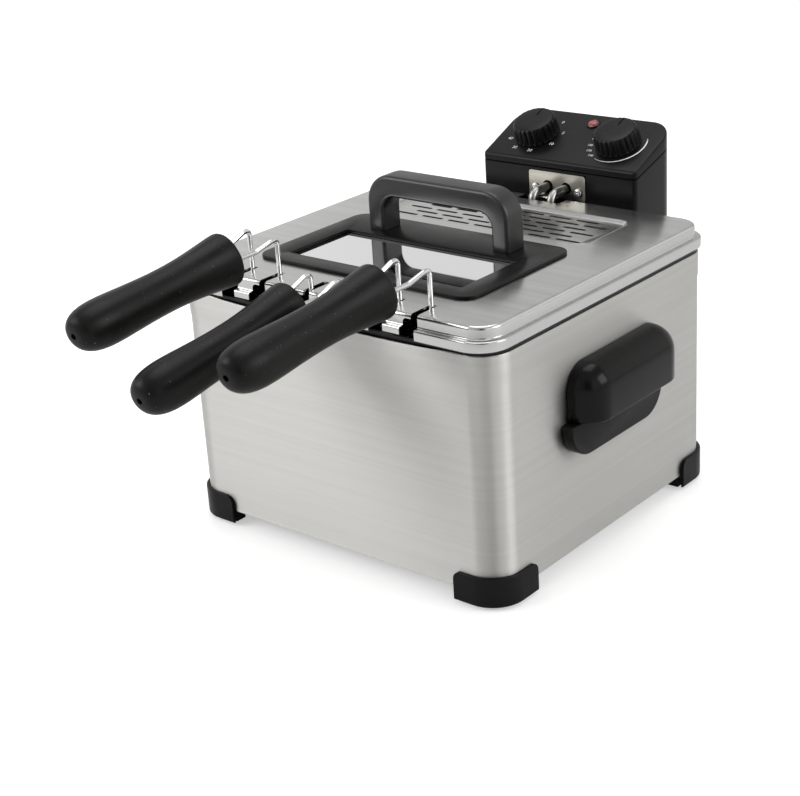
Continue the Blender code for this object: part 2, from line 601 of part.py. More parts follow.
def make_bracket():
    """The steel plate at the unit's front, its two screws, and the tongue beneath the element tubes."""
    x = PLATE_W / 2
    y0 = UNIT_Y0 + 0.0012 - GAP - 0.0016
    plate = rounded_box("bracket_plate", (-x, y0, PLATE_Z0), (x, y0 + 0.0016, PLATE_Z1), 0.0015, steel("bracket"), "Y", 2)
    cut_hole(plate, (0, y0, PROBE_EXIT_Z), 0.0013, 0.02, (0, 1, 0), 12)
    for side in (-1, 1):
        cut_hole(plate, (side * TUBE_X, y0, TUBE_Z), TUBE_R + 0.0013, 0.02, (0, 1, 0), 20)
        cut_hole(plate, (side * 0.0191, y0, 0.1925), 0.0016, 0.02, (0, 1, 0), 12)
    for index, side in enumerate((-1, 1)):
        at = (side * 0.0191, y0 - GAP - 0.0008, 0.1925)
        screw = cylinder(f"bracket_screw_{index + 1}", at, 0.0031, 0.0016, chrome("screw"), (0, 1, 0), 18)
        shank = cylinder(f"bracket_shank{index}", (at[0], y0 + 0.0002, at[2]), 0.0013, 0.0050, None, (0, 1, 0), 12)
        boolean(screw, shank, "UNION")
    low = (-0.0080, TUBE_DROP_Y + TUBE_R + 0.0010, TUBE_Z - TUBE_R - 0.0003 - 0.0011)
    rounded_box("tube_tongue", low, (0.0086, y0 - GAP, TUBE_Z - TUBE_R - 0.0003), 0.003, chrome("tongue"), "Z", 3)


def make_element():
    """One sheathed heating rod: out of the unit, down the pot's rear wall, round the floor and back."""
    inside = UNIT_Y0 + 0.012
    y, z = ELEMENT_Y, ELEMENT_Z
    half = [(TUBE_X, inside, TUBE_Z), (TUBE_X, TUBE_DROP_Y, TUBE_Z), (TUBE_X, TUBE_DROP_Y, z), (TUBE_X, y, z)]
    half += [(ELEMENT_X, y, z), (ELEMENT_X, -y, z), (0.030, -y, z), (0.030, 0.045, z)]
    path = [(-px, py, pz) for px, py, pz in half] + half[::-1]
    tube("heating_element", fillet(path, 0.0062, 3), TUBE_R, steel("element"))


def make_probe():
    """The thermostat's sensing bulb lying across the element, with its capillary led up the rear wall."""
    y = TUBE_DROP_Y + 0.0006
    path = [(0, UNIT_Y0 + 0.012, PROBE_EXIT_Z), (0, y, PROBE_EXIT_Z), (0, y, PROBE_Z), (0, 0.100, PROBE_Z)]
    tube("probe_capillary", fillet(path, 0.0050, 3), 0.0010, chrome("capillary"), 1)
    cylinder("probe_bulb", (0, 0.0700, PROBE_Z), 0.0032, 0.0590, chrome("bulb"), (0, 1, 0), 14)


def make_rear_fittings():
    """Magnetic power inlet and thermal reset button in the control unit's back."""
    y1 = UNIT_Y1
    inlet = rounded_box("power_inlet", (-0.0195, y1 - 0.014, 0.1185), (0.0195, y1 - 0.0010, 0.1435), 0.0036, black("inlet"), "Y", 3)
    cut_box(inlet, (-0.0150, y1 - 0.006, 0.1225), (0.0150, y1 + 0.01, 0.1395), 0.002, "Y", 2)
    for index, x in enumerate((-0.0070, 0.0070)):
        cylinder(f"inlet_pin_{index + 1}", (x, y1 - 0.0042, 0.131), 0.0020, 0.0030, material("contact_brass", (0.72, 0.52, 0.22), 0.3, 1.0), (0, 1, 0), 12)
    red = material("reset_red", (0.5, 0.03, 0.02), 0.35)
    cylinder("reset_button", (0.036, y1 - 0.0020, 0.131), 0.0039, 0.0070, red, (0, 1, 0), 16)
    rounded_box("thermal_cutout", (0.026, y1 - 0.030, 0.122), (0.046, y1 - 0.0090, 0.140), 0.002, black("cutout"), "Y", 2)


def main():
    make_housing()
    for name, sx, sy in (("fl", -1, -1), ("fr", 1, -1), ("rl", -1, 1), ("rr", 1, 1)):
        make_foot("foot_" + name, sx, sy)
        make_pad("foot_pad_" + name, sx, sy)
    make_side_handle("side_handle_r", 1)
    make_side_handle("side_handle_l", -1)
    make_rear_guide()
    make_pot()
    make_lid()
    make_vent()
    make_filter()
    make_window()
    make_lid_handle()
    make_basket("basket_large", (-0.1120, -0.1170, 0.0660), (0.1120, 0.1050, 0.1480), 0.022)
    for name, low_x, high_x in (("basket_left", -0.1080, -0.0015), ("basket_right", 0.0015, 0.1080)):
        make_basket(name, (low_x, -0.1035, 0.0720), (high_x, 0.1000, 0.1500), 0.016)
    for name, x in (("left", -PAIR_X), ("right", PAIR_X)):
        make_wires("basket_wire_" + name, x, -0.1085, 0.2155, SIDE_GRIP_Y + GAP, 0.1520, 0.0025)
        make_grip("grip_" + name, x, SIDE_GRIP_Y, 0.2090, math.radians(4.9))
    make_wires("basket_wire_large", 0.0, -0.1205, 0.1990, MIDDLE_GRIP_Y + GAP, 0.1500)
    make_grip("grip_large", 0.0, MIDDLE_GRIP_Y, 0.1900, math.radians(7.2))
    make_unit_shell()
    make_unit_cover()
    make_knob("timer_knob", -1)
    make_knob("thermostat_knob", 1)
    make_mechanism("timer_mechanism", -1, 0.0150, 0.022)
    make_mechanism("thermostat_body", 1, 0.0130, 0.018)
    make_lamp()
    make_bracket()
    make_element()
    make_probe()
    make_rear_fittings()


clear_scene()
ROOT = bpy.data.objects.new("fryer_root", None)
MAIN.objects.link(ROOT)
ROOT.location = (0, FRAME_SHIFT_Y, 0)
main()
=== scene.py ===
"""Looks of an electric deep fryer.

Brushed steel housing and lid, moulded black fittings, wire baskets and a rear control unit.
"""

import logging
import math
from collections.abc import Callable, Sequence
from dataclasses import dataclass
from enum import Enum

import bmesh
import bpy
from mathutils import Matrix, Vector


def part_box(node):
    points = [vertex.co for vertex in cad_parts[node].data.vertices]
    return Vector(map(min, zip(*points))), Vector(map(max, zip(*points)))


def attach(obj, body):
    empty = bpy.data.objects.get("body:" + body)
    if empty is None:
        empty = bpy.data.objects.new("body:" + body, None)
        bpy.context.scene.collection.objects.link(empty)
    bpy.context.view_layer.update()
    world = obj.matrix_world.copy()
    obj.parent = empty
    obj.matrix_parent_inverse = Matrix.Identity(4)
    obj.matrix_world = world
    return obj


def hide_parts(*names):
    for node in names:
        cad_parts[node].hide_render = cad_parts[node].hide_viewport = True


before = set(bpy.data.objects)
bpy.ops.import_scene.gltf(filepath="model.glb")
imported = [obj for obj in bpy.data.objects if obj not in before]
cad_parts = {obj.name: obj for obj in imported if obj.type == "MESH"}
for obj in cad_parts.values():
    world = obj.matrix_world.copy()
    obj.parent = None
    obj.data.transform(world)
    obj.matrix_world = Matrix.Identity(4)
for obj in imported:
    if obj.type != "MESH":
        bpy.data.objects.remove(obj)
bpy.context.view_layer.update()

LOG = logging.getLogger("deep_fryer")
Profile = list[tuple[float, float]]
Ring = list[Vector]

GAP = 0.0003
SMALLEST_RADIUS = 0.0002
SAME_POINT = 1e-7


# ---------------------------------------------------------------- mesh tools
class Ends(Enum):
    """How a loft is closed: with a face at each end, or by joining its last ring to its first."""

    CAPS = "caps"
    LOOP = "loop"


class Combine(Enum):
    """What a Boolean does with its other meshes."""

    CUT = "DIFFERENCE"
    JOIN = "UNION"
    OVERLAP = "INTERSECT"


class Axis(Enum):
    """The direction of a block's rounded edges, as the order in which its coordinates are read."""

    X = (1, 2, 0)
    Y = (2, 0, 1)
    Z = (0, 1, 2)


def arc(centre: float, height: float, radius: float, start: float, end: float,
        steps: int = 5) -> Profile:
    """Points of a profile on a circle.

    Args:
        centre: inset of the circle's centre.
        height: height of the circle's centre.
        radius: its radius.
        start: first angle in degrees; 180 points outwards, 90 up, 0 inwards.
        end: last angle in degrees.
        steps: number of chords.

    Returns:
        The (inset, height) pairs, both ends included.
    """
    turns = [math.radians(start + (end - start) * step / steps) for step in range(steps + 1)]
    return [(centre + radius * math.cos(turn), height + radius * math.sin(turn)) for turn in turns]


@dataclass(frozen=True)
class Plan:
    """A rounded rectangle seen from above, with its own radius at the front and at the rear corners."""

    low: tuple[float, float]
    high: tuple[float, float]
    front_radius: float
    rear_radius: float
    segments: int = 14

    @classmethod
    def of_node(cls, node: str, radius: float, grow: float = 0.0) -> "Plan":
        """The plan of a CAD node's box, grown outwards by a distance."""
        low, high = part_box(node)
        return cls((low.x - grow, low.y - grow), (high.x + grow, high.y + grow), radius, radius)

    def ring(self, inset: float, height: float | Callable[[float], float]) -> Ring:
        """The outline moved inwards by inset, at a height or at a height that depends on Y."""
        points = []
        corners = (
            (self.high[0], self.high[1], self.rear_radius, 0),
            (self.low[0], self.high[1], self.rear_radius, 90),
            (self.low[0], self.low[1], self.front_radius, 180),
            (self.high[0], self.low[1], self.front_radius, 270),
        )
        for x, y, corner_radius, start in corners:
            radius = max(corner_radius - inset, SMALLEST_RADIUS)
            x_side = 1 if start in (0, 270) else -1
            y_side = 1 if start in (0, 90) else -1
            centre_x, centre_y = x - x_side * (inset + radius), y - y_side * (inset + radius)
            for step in range(self.segments + 1):
                turn = math.radians(start + 90 * step / self.segments)
                px, py = centre_x + radius * math.cos(turn), centre_y + radius * math.sin(turn)
                points.append(Vector((px, py, height(py) if callable(height) else height)))
        return points


def new_object(name: str, data: bpy.types.ID) -> bpy.types.Object:
    """Links a mesh, curve, light or camera to the scene as an object of that name."""
    obj = bpy.data.objects.new(name, data)
    bpy.context.scene.collection.objects.link(obj)
    return obj


def loft(name: str, rings: Sequence[Ring], ends: Ends = Ends.CAPS) -> bpy.types.Object:
    """Skins rings of equal length into one closed mesh.

    Args:
        name: the object's name.
        rings: the outlines in order.
        ends: whether the ends are capped or joined.

    Returns:
        The new object, its faces pointing outwards.
    """
    bm = bmesh.new()
    made = [[bm.verts.new(point) for point in ring] for ring in rings]
    count = len(rings[0])
    pairs = list(zip(made, made[1:]))
    if ends is Ends.LOOP:
        pairs.append((made[-1], made[0]))
    for ring, following in pairs:
        for step in range(count):
            after = (step + 1) % count
            bm.faces.new((ring[step], ring[after], following[after], following[step]))
    if ends is Ends.CAPS:
        bm.faces.new(made[0][::-1])
        bm.faces.new(made[-1])
    bmesh.ops.remove_doubles(bm, verts=bm.verts, dist=SAME_POINT)
    bmesh.ops.recalc_face_normals(bm, faces=bm.faces)
    mesh = bpy.data.meshes.new(name)
    bm.to_mesh(mesh)
    bm.free()
    return new_object(name, mesh)


def sweep(name: str, plan: Plan, profile: Profile, ends: Ends = Ends.CAPS) -> bpy.types.Object:
    """Carries a profile of (inset, height) pairs round a plan."""
    return loft(name, [plan.ring(inset, height) for inset, height in profile], ends)


def turned(name: str, profile: Profile, place: Matrix, sides: int,
           ends: Ends = Ends.CAPS) -> bpy.types.Object:
    """A turned piece from (radius, height) pairs, put in place by a matrix."""
    turns = [2 * math.pi * step / sides for step in range(sides)]
    rings = [[place @ Vector((radius * math.cos(t), radius * math.sin(t), height)) for t in turns]
             for radius, height in profile]
    return loft(name, rings, ends)


def block(name: str, low: Sequence[float], high: Sequence[float], radius: float = 0.0, axis: Axis = Axis.Z,
          segments: int = 8) -> bpy.types.Object:
    """A box whose four edges along one axis are rounded."""
    order = axis.value
    plan = Plan((low[order[0]], low[order[1]]), (high[order[0]], high[order[1]]), radius, radius, segments)
    rings = []
    for level in (low[order[2]], high[order[2]]):
        ring = []
        for flat in plan.ring(0.0, level):
            point = [0.0, 0.0, 0.0]
            for index, value in zip(order, flat):
                point[index] = value
            ring.append(Vector(point))
        rings.append(ring)
    return loft(name, rings)


def bake(obj: bpy.types.Object) -> bpy.types.Object:
    """Turns the object's modifiers, or its curve, into a plain mesh, and drops them."""
    graph = bpy.context.evaluated_depsgraph_get()
    mesh = bpy.data.meshes.new_from_object(obj.evaluated_get(graph), depsgraph=graph)
    mesh.name = obj.name
    if obj.type == "MESH":
        obj.modifiers.clear()
        obj.data = mesh
        return obj
    name = obj.name
    bpy.data.objects.remove(obj, do_unlink=True)
    return new_object(name, mesh)


def combine(obj: bpy.types.Object, others: Sequence[bpy.types.Object],
            how: Combine = Combine.CUT) -> bpy.types.Object:
    """Cuts, joins or intersects the object with others, which are used up."""
    for other in others:
        modifier = obj.modifiers.new("Boolean", "BOOLEAN")
        modifier.operation = how.value
        modifier.solver = "EXACT"
        modifier.object = other
    bake(obj)
    for other in others:
        bpy.data.objects.remove(other, do_unlink=True)
    return obj


def soften(obj: bpy.types.Object, width: float, segments: int = 2, angle: float = 40.0) -> bpy.types.Object:
    """Rounds the object's sharp edges a little."""
    bevel = obj.modifiers.new("Bevel", "BEVEL")
    bevel.width, bevel.segments = width, segments
    bevel.limit_method, bevel.angle_limit = "ANGLE", math.radians(angle)
    bevel.use_clamp_overlap = True
    bevel.harden_normals = False
    return bake(obj)


def rod(name: str, points: Sequence[Vector], radius: float, smoothness: int,
        closed: bool = False) -> bpy.types.Object:
    """A round bar along a polyline."""
    curve = bpy.data.curves.new(name, "CURVE")
    curve.dimensions = "3D"
    curve.bevel_depth, curve.bevel_resolution = radius, smoothness
    curve.use_fill_caps = True
    spline = curve.splines.new("POLY")
    spline.points.add(len(points) - 1)
    for point, place in zip(spline.points, points):
        point.co = (*place, 1.0)
    spline.use_cyclic_u = closed
    return bake(new_object(name, curve))


def fillet(points: Sequence[Sequence[float]], radius: float, steps: int = 8) -> list[Vector]:
    """A polyline with its inner corners rounded by arcs."""
    spots = [Vector(p) for p in points]
    path = [spots[0]]
    for before, corner, after in zip(spots, spots[1:], spots[2:]):
        into, out = (corner - before).normalized(), (after - corner).normalized()
        half_turn = into.angle(out) / 2
        centre = corner + (out - into).normalized() * (radius / math.cos(half_turn))
        start = corner - into * radius * math.tan(half_turn) - centre
        axis = into.cross(out).normalized()
        for step in range(steps + 1):
            path.append(centre + Matrix.Rotation(2 * half_turn * step / steps, 3, axis) @ start)
    return path + [spots[-1]]


def merge(name: str, objects: Sequence[bpy.types.Object]) -> bpy.types.Object:
    """Puts several meshes into one object and removes them."""
    bm = bmesh.new()
    for obj in objects:
        bm.from_mesh(obj.data)
        bpy.data.objects.remove(obj, do_unlink=True)
    mesh = bpy.data.meshes.new(name)
    bm.to_mesh(mesh)
    bm.free()
    return new_object(name, mesh)


def mirrored(obj: bpy.types.Object) -> bpy.types.Object:
    """Turns a piece for the fryer's right into the one for its left."""
    obj.data.transform(Matrix.Scale(-1, 4, Vector((1, 0, 0))))
    obj.data.flip_normals()
    return obj


# ---------------------------------------------------------------- geometry node trees
def feed(tree: bpy.types.NodeTree, value: object, socket: bpy.types.NodeSocket) -> None:
    """Links a socket to an input, or sets the input to a plain value."""
    if isinstance(value, bpy.types.NodeSocket):
        tree.links.new(value, socket)
    else:
        socket.default_value = value


class Tree:
    """A geometry node group with named inputs that ends in Realize Instances and Set Material."""

    def __init__(self, name: str, inputs: dict[str, str]) -> None:
        """Starts the group.

        Args:
            name: the group's name.
            inputs: socket names with their socket types.
        """
        self.group = bpy.data.node_groups.new(name, "GeometryNodeTree")
        self.group.interface.new_socket("Geometry", in_out="OUTPUT", socket_type="NodeSocketGeometry")
        for label, kind in inputs.items():
            self.group.interface.new_socket(label, in_out="INPUT", socket_type=kind)
        self.group.interface.new_socket("Finish", in_out="INPUT", socket_type="NodeSocketMaterial")
        self.source = self.group.nodes.new("NodeGroupInput")

    def node(self, kind: str, **settings: object) -> bpy.types.Node:
        """Adds a node; a setting named after an input fills or links it, any other is a property."""
        made = self.group.nodes.new(kind)
        for label, value in settings.items():
            title = label.replace("_", " ").title()
            socket = made.inputs.get(title)
            if socket is None:
                setattr(made, label, value)
            else:
                feed(self.group, value, socket)
        return made

    def math(self, operation: str, first: object, second: object = 0.0) -> bpy.types.NodeSocket:
        """A Math node's result."""
        made = self.group.nodes.new("ShaderNodeMath")
        made.operation = operation
        for socket, value in zip(made.inputs, (first, second)):
            feed(self.group, value, socket)
        return made.outputs[0]

    def vector(self, x: object, y: object, z: object) -> bpy.types.NodeSocket:
        """A Combine XYZ node's result."""
        made = self.group.nodes.new("ShaderNodeCombineXYZ")
        for socket, value in zip(made.inputs, (x, y, z)):
            feed(self.group, value, socket)
        return made.outputs[0]

    def end(self, geometry: bpy.types.NodeSocket) -> None:
        """Realizes the result, gives it its finish and puts it out."""
        real = self.node("GeometryNodeRealizeInstances", geometry=geometry)
        finish = self.source.outputs["Finish"]
        dressed = self.node("GeometryNodeSetMaterial", geometry=real.outputs[0], material=finish)
        out = self.group.nodes.new("NodeGroupOutput")
        self.group.links.new(dressed.outputs[0], out.inputs[0])

    def grow(self, name: str, mesh: bpy.types.Mesh | None = None, **values: object) -> bpy.types.Object:
        """Runs the tree on a mesh and returns the plain result."""
        obj = new_object(name, mesh or bpy.data.meshes.new(name))
        modifier = obj.modifiers.new("Nodes", "NODES")
        modifier.node_group = self.group
        for item in self.group.interface.items_tree:
            key = item.name.lower().replace(" ", "_")
            if item.item_type == "SOCKET" and item.in_out == "INPUT" and key in values:
                modifier[item.identifier] = values[key]
        return bake(obj)


def slot_field_tree() -> Tree:
    """Rows of upright stadium prisms on a grid, with every other row moved by half a pitch."""
    sizes = ("Pitch", "Row Step", "Slot Length", "Slot Width", "Depth")
    inputs = {"Columns": "NodeSocketInt", "Rows": "NodeSocketInt", **dict.fromkeys(sizes, "NodeSocketFloat")}
    tree = Tree("slot_field", {**inputs, "Centre": "NodeSocketVector"})
    given = tree.source.outputs
    wide = tree.math("MULTIPLY", tree.math("SUBTRACT", given["Columns"], 1.0), given["Pitch"])
    tall = tree.math("MULTIPLY", tree.math("SUBTRACT", given["Rows"], 1.0), given["Row Step"])
    grid = tree.node("GeometryNodeMeshGrid", size_x=wide, size_y=tall, vertices_x=given["Columns"],
                     vertices_y=given["Rows"])
    index = tree.node("GeometryNodeInputIndex").outputs[0]
    row = tree.math("FLOORED_MODULO", index, given["Rows"])
    odd = tree.math("FLOORED_MODULO", row, 2.0)
    column = tree.math("FLOOR", tree.math("DIVIDE", tree.math("ADD", index, 0.5), given["Rows"]))
    last = tree.math("COMPARE", column, tree.math("SUBTRACT", given["Columns"], 1.0))
    spare = tree.math("MULTIPLY", odd, last)
    shift = tree.math("MULTIPLY", odd, tree.math("MULTIPLY", given["Pitch"], 0.5))
    shift = tree.vector(shift, 0.0, 0.0)
    moved = tree.node("GeometryNodeSetPosition", geometry=grid.outputs["Mesh"], offset=shift)
    kept = tree.node("GeometryNodeDeleteGeometry", geometry=moved.outputs[0], selection=spare)
    bar = tree.node("GeometryNodeCurvePrimitiveQuadrilateral", width=given["Slot Length"],
                    height=given["Slot Width"])
    round_ends = tree.node("GeometryNodeFilletCurve", curve=bar.outputs[0], mode="POLY", count=5,
                           radius=tree.math("MULTIPLY", given["Slot Width"], 0.49))
    face = tree.node("GeometryNodeFillCurve", curve=round_ends.outputs[0], mode="NGONS")
    solid = tree.node("GeometryNodeExtrudeMesh", mesh=face.outputs[0], offset_scale=given["Depth"])
    both = tree.node("GeometryNodeFlipFaces", mesh=face.outputs[0])
    joined = tree.node("GeometryNodeJoinGeometry")
    tree.group.links.new(solid.outputs[0], joined.inputs[0])
    tree.group.links.new(both.outputs[0], joined.inputs[0])
    whole = tree.node("GeometryNodeMergeByDistance", geometry=joined.outputs[0], distance=0.00001)
    copies = tree.node("GeometryNodeInstanceOnPoints", points=kept.outputs[0], instance=whole.outputs[0])
    placed = tree.node("GeometryNodeTransform", geometry=copies.outputs[0], translation=given["Centre"])
    tree.end(placed.outputs[0])
    return tree


def lattice_tree() -> Tree:
    """A round wire along every edge of a mesh."""
    inputs = {"Sheet": "NodeSocketGeometry", "Wire Radius": "NodeSocketFloat", "Sides": "NodeSocketInt"}
    tree = Tree("wire_lattice", inputs)
    given = tree.source.outputs
    lines = tree.node("GeometryNodeMeshToCurve", mesh=given["Sheet"])
    section = tree.node("GeometryNodeCurvePrimitiveCircle", resolution=given["Sides"],
                        radius=given["Wire Radius"])
    wires = tree.node("GeometryNodeCurveToMesh", curve=lines.outputs[0], profile_curve=section.outputs[0],
                      fill_caps=True)
    tree.end(wires.outputs[0])
    return tree


def repeat_tree() -> Tree:
    """A copy of one object at every vertex of a mesh."""
    tree = Tree("repeat_at_points", {"Points": "NodeSocketGeometry", "Piece": "NodeSocketObject"})
    given = tree.source.outputs
    piece = tree.node("GeometryNodeObjectInfo", object=given["Piece"])
    shape = piece.outputs["Geometry"]
    copies = tree.node("GeometryNodeInstanceOnPoints", points=given["Points"], instance=shape)
    tree.end(copies.outputs[0])
    return tree


# ---------------------------------------------------------------- shader node groups
def shader_group(name: str, inputs: dict[str, float],
                 outputs: Sequence[str]) -> tuple[bpy.types.NodeTree, bpy.types.Node, bpy.types.Node]:
    """An empty shader group with float inputs and outputs.

    Args:
        name: the group's name.
        inputs: socket names with their defaults.
        outputs: names of the value sockets it puts out.

    Returns:
        The tree, its input node and its output node.
    """
    group = bpy.data.node_groups.new(name, "ShaderNodeTree")
    for label, default in inputs.items():
        socket = group.interface.new_socket(label, in_out="INPUT", socket_type="NodeSocketFloat")
        socket.default_value = default
    for label in outputs:
        group.interface.new_socket(label, in_out="OUTPUT", socket_type="NodeSocketFloat")
    return group, group.nodes.new("NodeGroupInput"), group.nodes.new("NodeGroupOutput")


def noise(tree: bpy.types.NodeTree, vector: bpy.types.NodeSocket, scale: object, detail: float,
          rough: float = 0.5) -> bpy.types.NodeSocket:
    """A noise texture's value on a vector."""
    made = tree.nodes.new("ShaderNodeTexNoise")
    for label, value in (("Vector", vector), ("Scale", scale), ("Detail", detail), ("Roughness", rough)):
        feed(tree, value, made.inputs[label])
    return made.outputs["Fac"]


def remap(tree: bpy.types.NodeTree, value: bpy.types.NodeSocket, low: float, high: float, to_low: float,
          to_high: float) -> bpy.types.NodeSocket:
    """A Map Range node's result."""
    made = tree.nodes.new("ShaderNodeMapRange")
    tree.links.new(value, made.inputs["Value"])
    for label, limit in (("From Min", low), ("From Max", high), ("To Min", to_low), ("To Max", to_high)):
        made.inputs[label].default_value = limit
    return made.outputs[0]


def blend(tree: bpy.types.NodeTree, factor: bpy.types.NodeSocket, first: bpy.types.NodeSocket,
          second: Sequence[float]) -> bpy.types.NodeSocket:
    """A colour that goes from a socket's to a plain one as the factor rises."""
    mix = tree.nodes.new("ShaderNodeMix")
    mix.data_type = "RGBA"
    tree.links.new(factor, mix.inputs["Factor"])
    tree.links.new(first, mix.inputs[6])
    mix.inputs[7].default_value = second
    return mix.outputs[2]


def brushed_lines_group() -> bpy.types.NodeTree:
    """Fine parallel scratches: along X on faces that look up, and level round the upright walls."""
    group, given, out = shader_group("brushed_lines", {"Density": 900.0, "Run": 6.0}, ("Height", "Tone"))
    nodes, links = group.nodes, group.links
    place = nodes.new("ShaderNodeTexCoord").outputs["Object"]
    facing = nodes.new("ShaderNodeSeparateXYZ")
    links.new(nodes.new("ShaderNodeNewGeometry").outputs["Normal"], facing.inputs[0])
    upright = nodes.new("ShaderNodeMath")
    upright.operation = "ABSOLUTE"
    links.new(facing.outputs[2], upright.inputs[0])
    is_top = remap(group, upright.outputs[0], 0.6, 0.8, 0.0, 1.0)

    def stretched(cross: Sequence[bool]) -> bpy.types.NodeSocket:
        """The place, scaled up across the scratches and little along them."""
        scale = nodes.new("ShaderNodeCombineXYZ")
        for socket, across in zip(scale.inputs, cross):
            links.new(given.outputs["Density" if across else "Run"], socket)
        product = nodes.new("ShaderNodeVectorMath")
        product.operation = "MULTIPLY"
        links.new(place, product.inputs[0])
        links.new(scale.outputs[0], product.inputs[1])
        return product.outputs[0]

    flat, wall = stretched((False, True, True)), stretched((False, False, True))
    for label, scale, detail in (("Height", 1.0, 3.0), ("Tone", 0.22, 2.0)):
        mix = nodes.new("ShaderNodeMix")
        links.new(is_top, mix.inputs["Factor"])
        links.new(noise(group, wall, scale, detail), mix.inputs["A"])
        links.new(noise(group, flat, scale, detail), mix.inputs["B"])
        links.new(mix.outputs[0], out.inputs[label])
    return group


def moulded_grain_group() -> bpy.types.NodeTree:
    """The spark-eroded texture of moulded plastic, with broad patches where it is worn smoother."""
    group, given, out = shader_group("moulded_grain", {"Grain": 2600.0, "Patch": 35.0}, ("Height", "Wear"))
    place = group.nodes.new("ShaderNodeTexCoord").outputs["Object"]
    group.links.new(noise(group, place, given.outputs["Grain"], 2.0, 0.6), out.inputs["Height"])
    group.links.new(noise(group, place, given.outputs["Patch"], 4.0, 0.6), out.inputs["Wear"])
    return group


def smudges_group() -> bpy.types.NodeTree:
    """Faint wiping marks and dust specks."""
    group, given, out = shader_group("smudges", {"Size": 14.0, "Specks": 900.0}, ("Smear", "Dust"))
    place = group.nodes.new("ShaderNodeTexCoord").outputs["Object"]
    group.links.new(noise(group, place, given.outputs["Size"], 5.0, 0.65), out.inputs["Smear"])
    specks = noise(group, place, given.outputs["Specks"], 1.0)
    group.links.new(remap(group, specks, 0.74, 0.80, 0.0, 1.0), out.inputs["Dust"])
    return group


@dataclass(frozen=True)
class SharedEffects:
    """The shader groups that several finishes use."""

    brushed: bpy.types.NodeTree
    grain: bpy.types.NodeTree
    smudges: bpy.types.NodeTree

    @classmethod
    def make(cls) -> "SharedEffects":
        """Builds the groups once."""
        return cls(brushed_lines_group(), moulded_grain_group(), smudges_group())


class Surface:
    """A material under construction: its tree, its shader and short ways to wire them."""

    def __init__(self, name: str, colour: Sequence[float], rough: float, metallic: float = 0.0,
                 **plain: float) -> None:
        """Makes the material with plain values on its shader."""
        self.material = bpy.data.materials.new(name)
        self.material.use_nodes = True
        self.tree = self.material.node_tree
        self.shader = self.tree.nodes["Principled BSDF"]
        self.shader.inputs["Base Color"].default_value = (*colour, 1.0)
        self.shader.inputs["Roughness"].default_value = rough
        self.shader.inputs["Metallic"].default_value = metallic
        for label, value in plain.items():
            self.shader.inputs[label.replace("_", " ").title().replace("Ior", "IOR")].default_value = value

    def add(self, kind: str) -> bpy.types.Node:
        """Adds a node to the material."""
        return self.tree.nodes.new(kind)

    def group(self, tree: bpy.types.NodeTree, **values: float) -> bpy.types.Node:
        """Places a shared group with its own values."""
        made = self.add("ShaderNodeGroup")
        made.node_tree = tree
        for label, value in values.items():
            made.inputs[label.title()].default_value = value
        return made

    def vary(self, label: str, value: bpy.types.NodeSocket, low: float, high: float, start: float = 0.3,
             stop: float = 0.7) -> None:
        """Lets a value between start and stop move one of the shader's inputs from low to high."""
        self.tree.links.new(remap(self.tree, value, start, stop, low, high), self.shader.inputs[label])

    def tint(self, value: bpy.types.NodeSocket, dark: Sequence[float], light: Sequence[float],
             start: float = 0.3, stop: float = 0.7) -> None:
        """Lets a value move the colour from dark to light."""
        ramp = self.add("ShaderNodeValToRGB")
        for element, place, colour in zip(ramp.color_ramp.elements, (start, stop), (dark, light)):
            element.position, element.color = place, (*colour, 1.0)
        self.tree.links.new(value, ramp.inputs[0])
        self.tree.links.new(ramp.outputs[0], self.shader.inputs["Base Color"])

    def bump(self, height: bpy.types.NodeSocket, strength: float, distance: float) -> None:
        """Feeds a height through a Bump node into the normal."""
        made = self.add("ShaderNodeBump")
        made.inputs["Strength"].default_value = strength
        made.inputs["Distance"].default_value = distance
        self.tree.links.new(height, made.inputs["Height"])
        self.tree.links.new(made.outputs[0], self.shader.inputs["Normal"])


# ---------------------------------------------------------------- finishes
@dataclass(frozen=True)
class BrushedSteel:
    """Sheet steel with a directional polish."""

    dark: tuple[float, float, float] = (0.545, 0.54, 0.52)
    light: tuple[float, float, float] = (0.585, 0.58, 0.56)
    rough: tuple[float, float] = (0.44, 0.52)
    density: float = 1400.0
    stretch: float = 0.85
    relief: float = 0.06
    along_x: bool = False

    def build(self, name: str, shared: SharedEffects) -> bpy.types.Material:
        """Makes the material."""
        surface = Surface(name, self.light, self.rough[0], 1.0, anisotropic=self.stretch)
        across = surface.add("ShaderNodeCombineXYZ")
        direction = (1.0, 0.6) if self.along_x else (0.0, 1.0)
        across.inputs[1].default_value, across.inputs[2].default_value = direction
        surface.tree.links.new(across.outputs[0], surface.shader.inputs["Tangent"])
        lines = surface.group(shared.brushed, density=self.density, run=9.0)
        surface.tint(lines.outputs["Tone"], self.dark, self.light, 0.25, 0.75)
        marks = surface.group(shared.smudges, size=9.0)
        surface.vary("Roughness", marks.outputs["Smear"], *self.rough)
        surface.bump(lines.outputs["Height"], self.relief, 0.0001)
        return surface.material


@dataclass(frozen=True)
class Polished:
    """Bright plated or polished metal."""

    colour: tuple[float, float, float] = (0.78, 0.78, 0.79)
    rough: tuple[float, float] = (0.06, 0.16)

    def build(self, name: str, shared: SharedEffects) -> bpy.types.Material:
        """Makes the material."""
        surface = Surface(name, self.colour, self.rough[0], 1.0)
        marks = surface.group(shared.smudges, size=60.0)
        surface.vary("Roughness", marks.outputs["Smear"], *self.rough)
        dim = tuple(value * 0.86 for value in self.colour)
        surface.tint(marks.outputs["Smear"], dim, self.colour)
        return surface.material


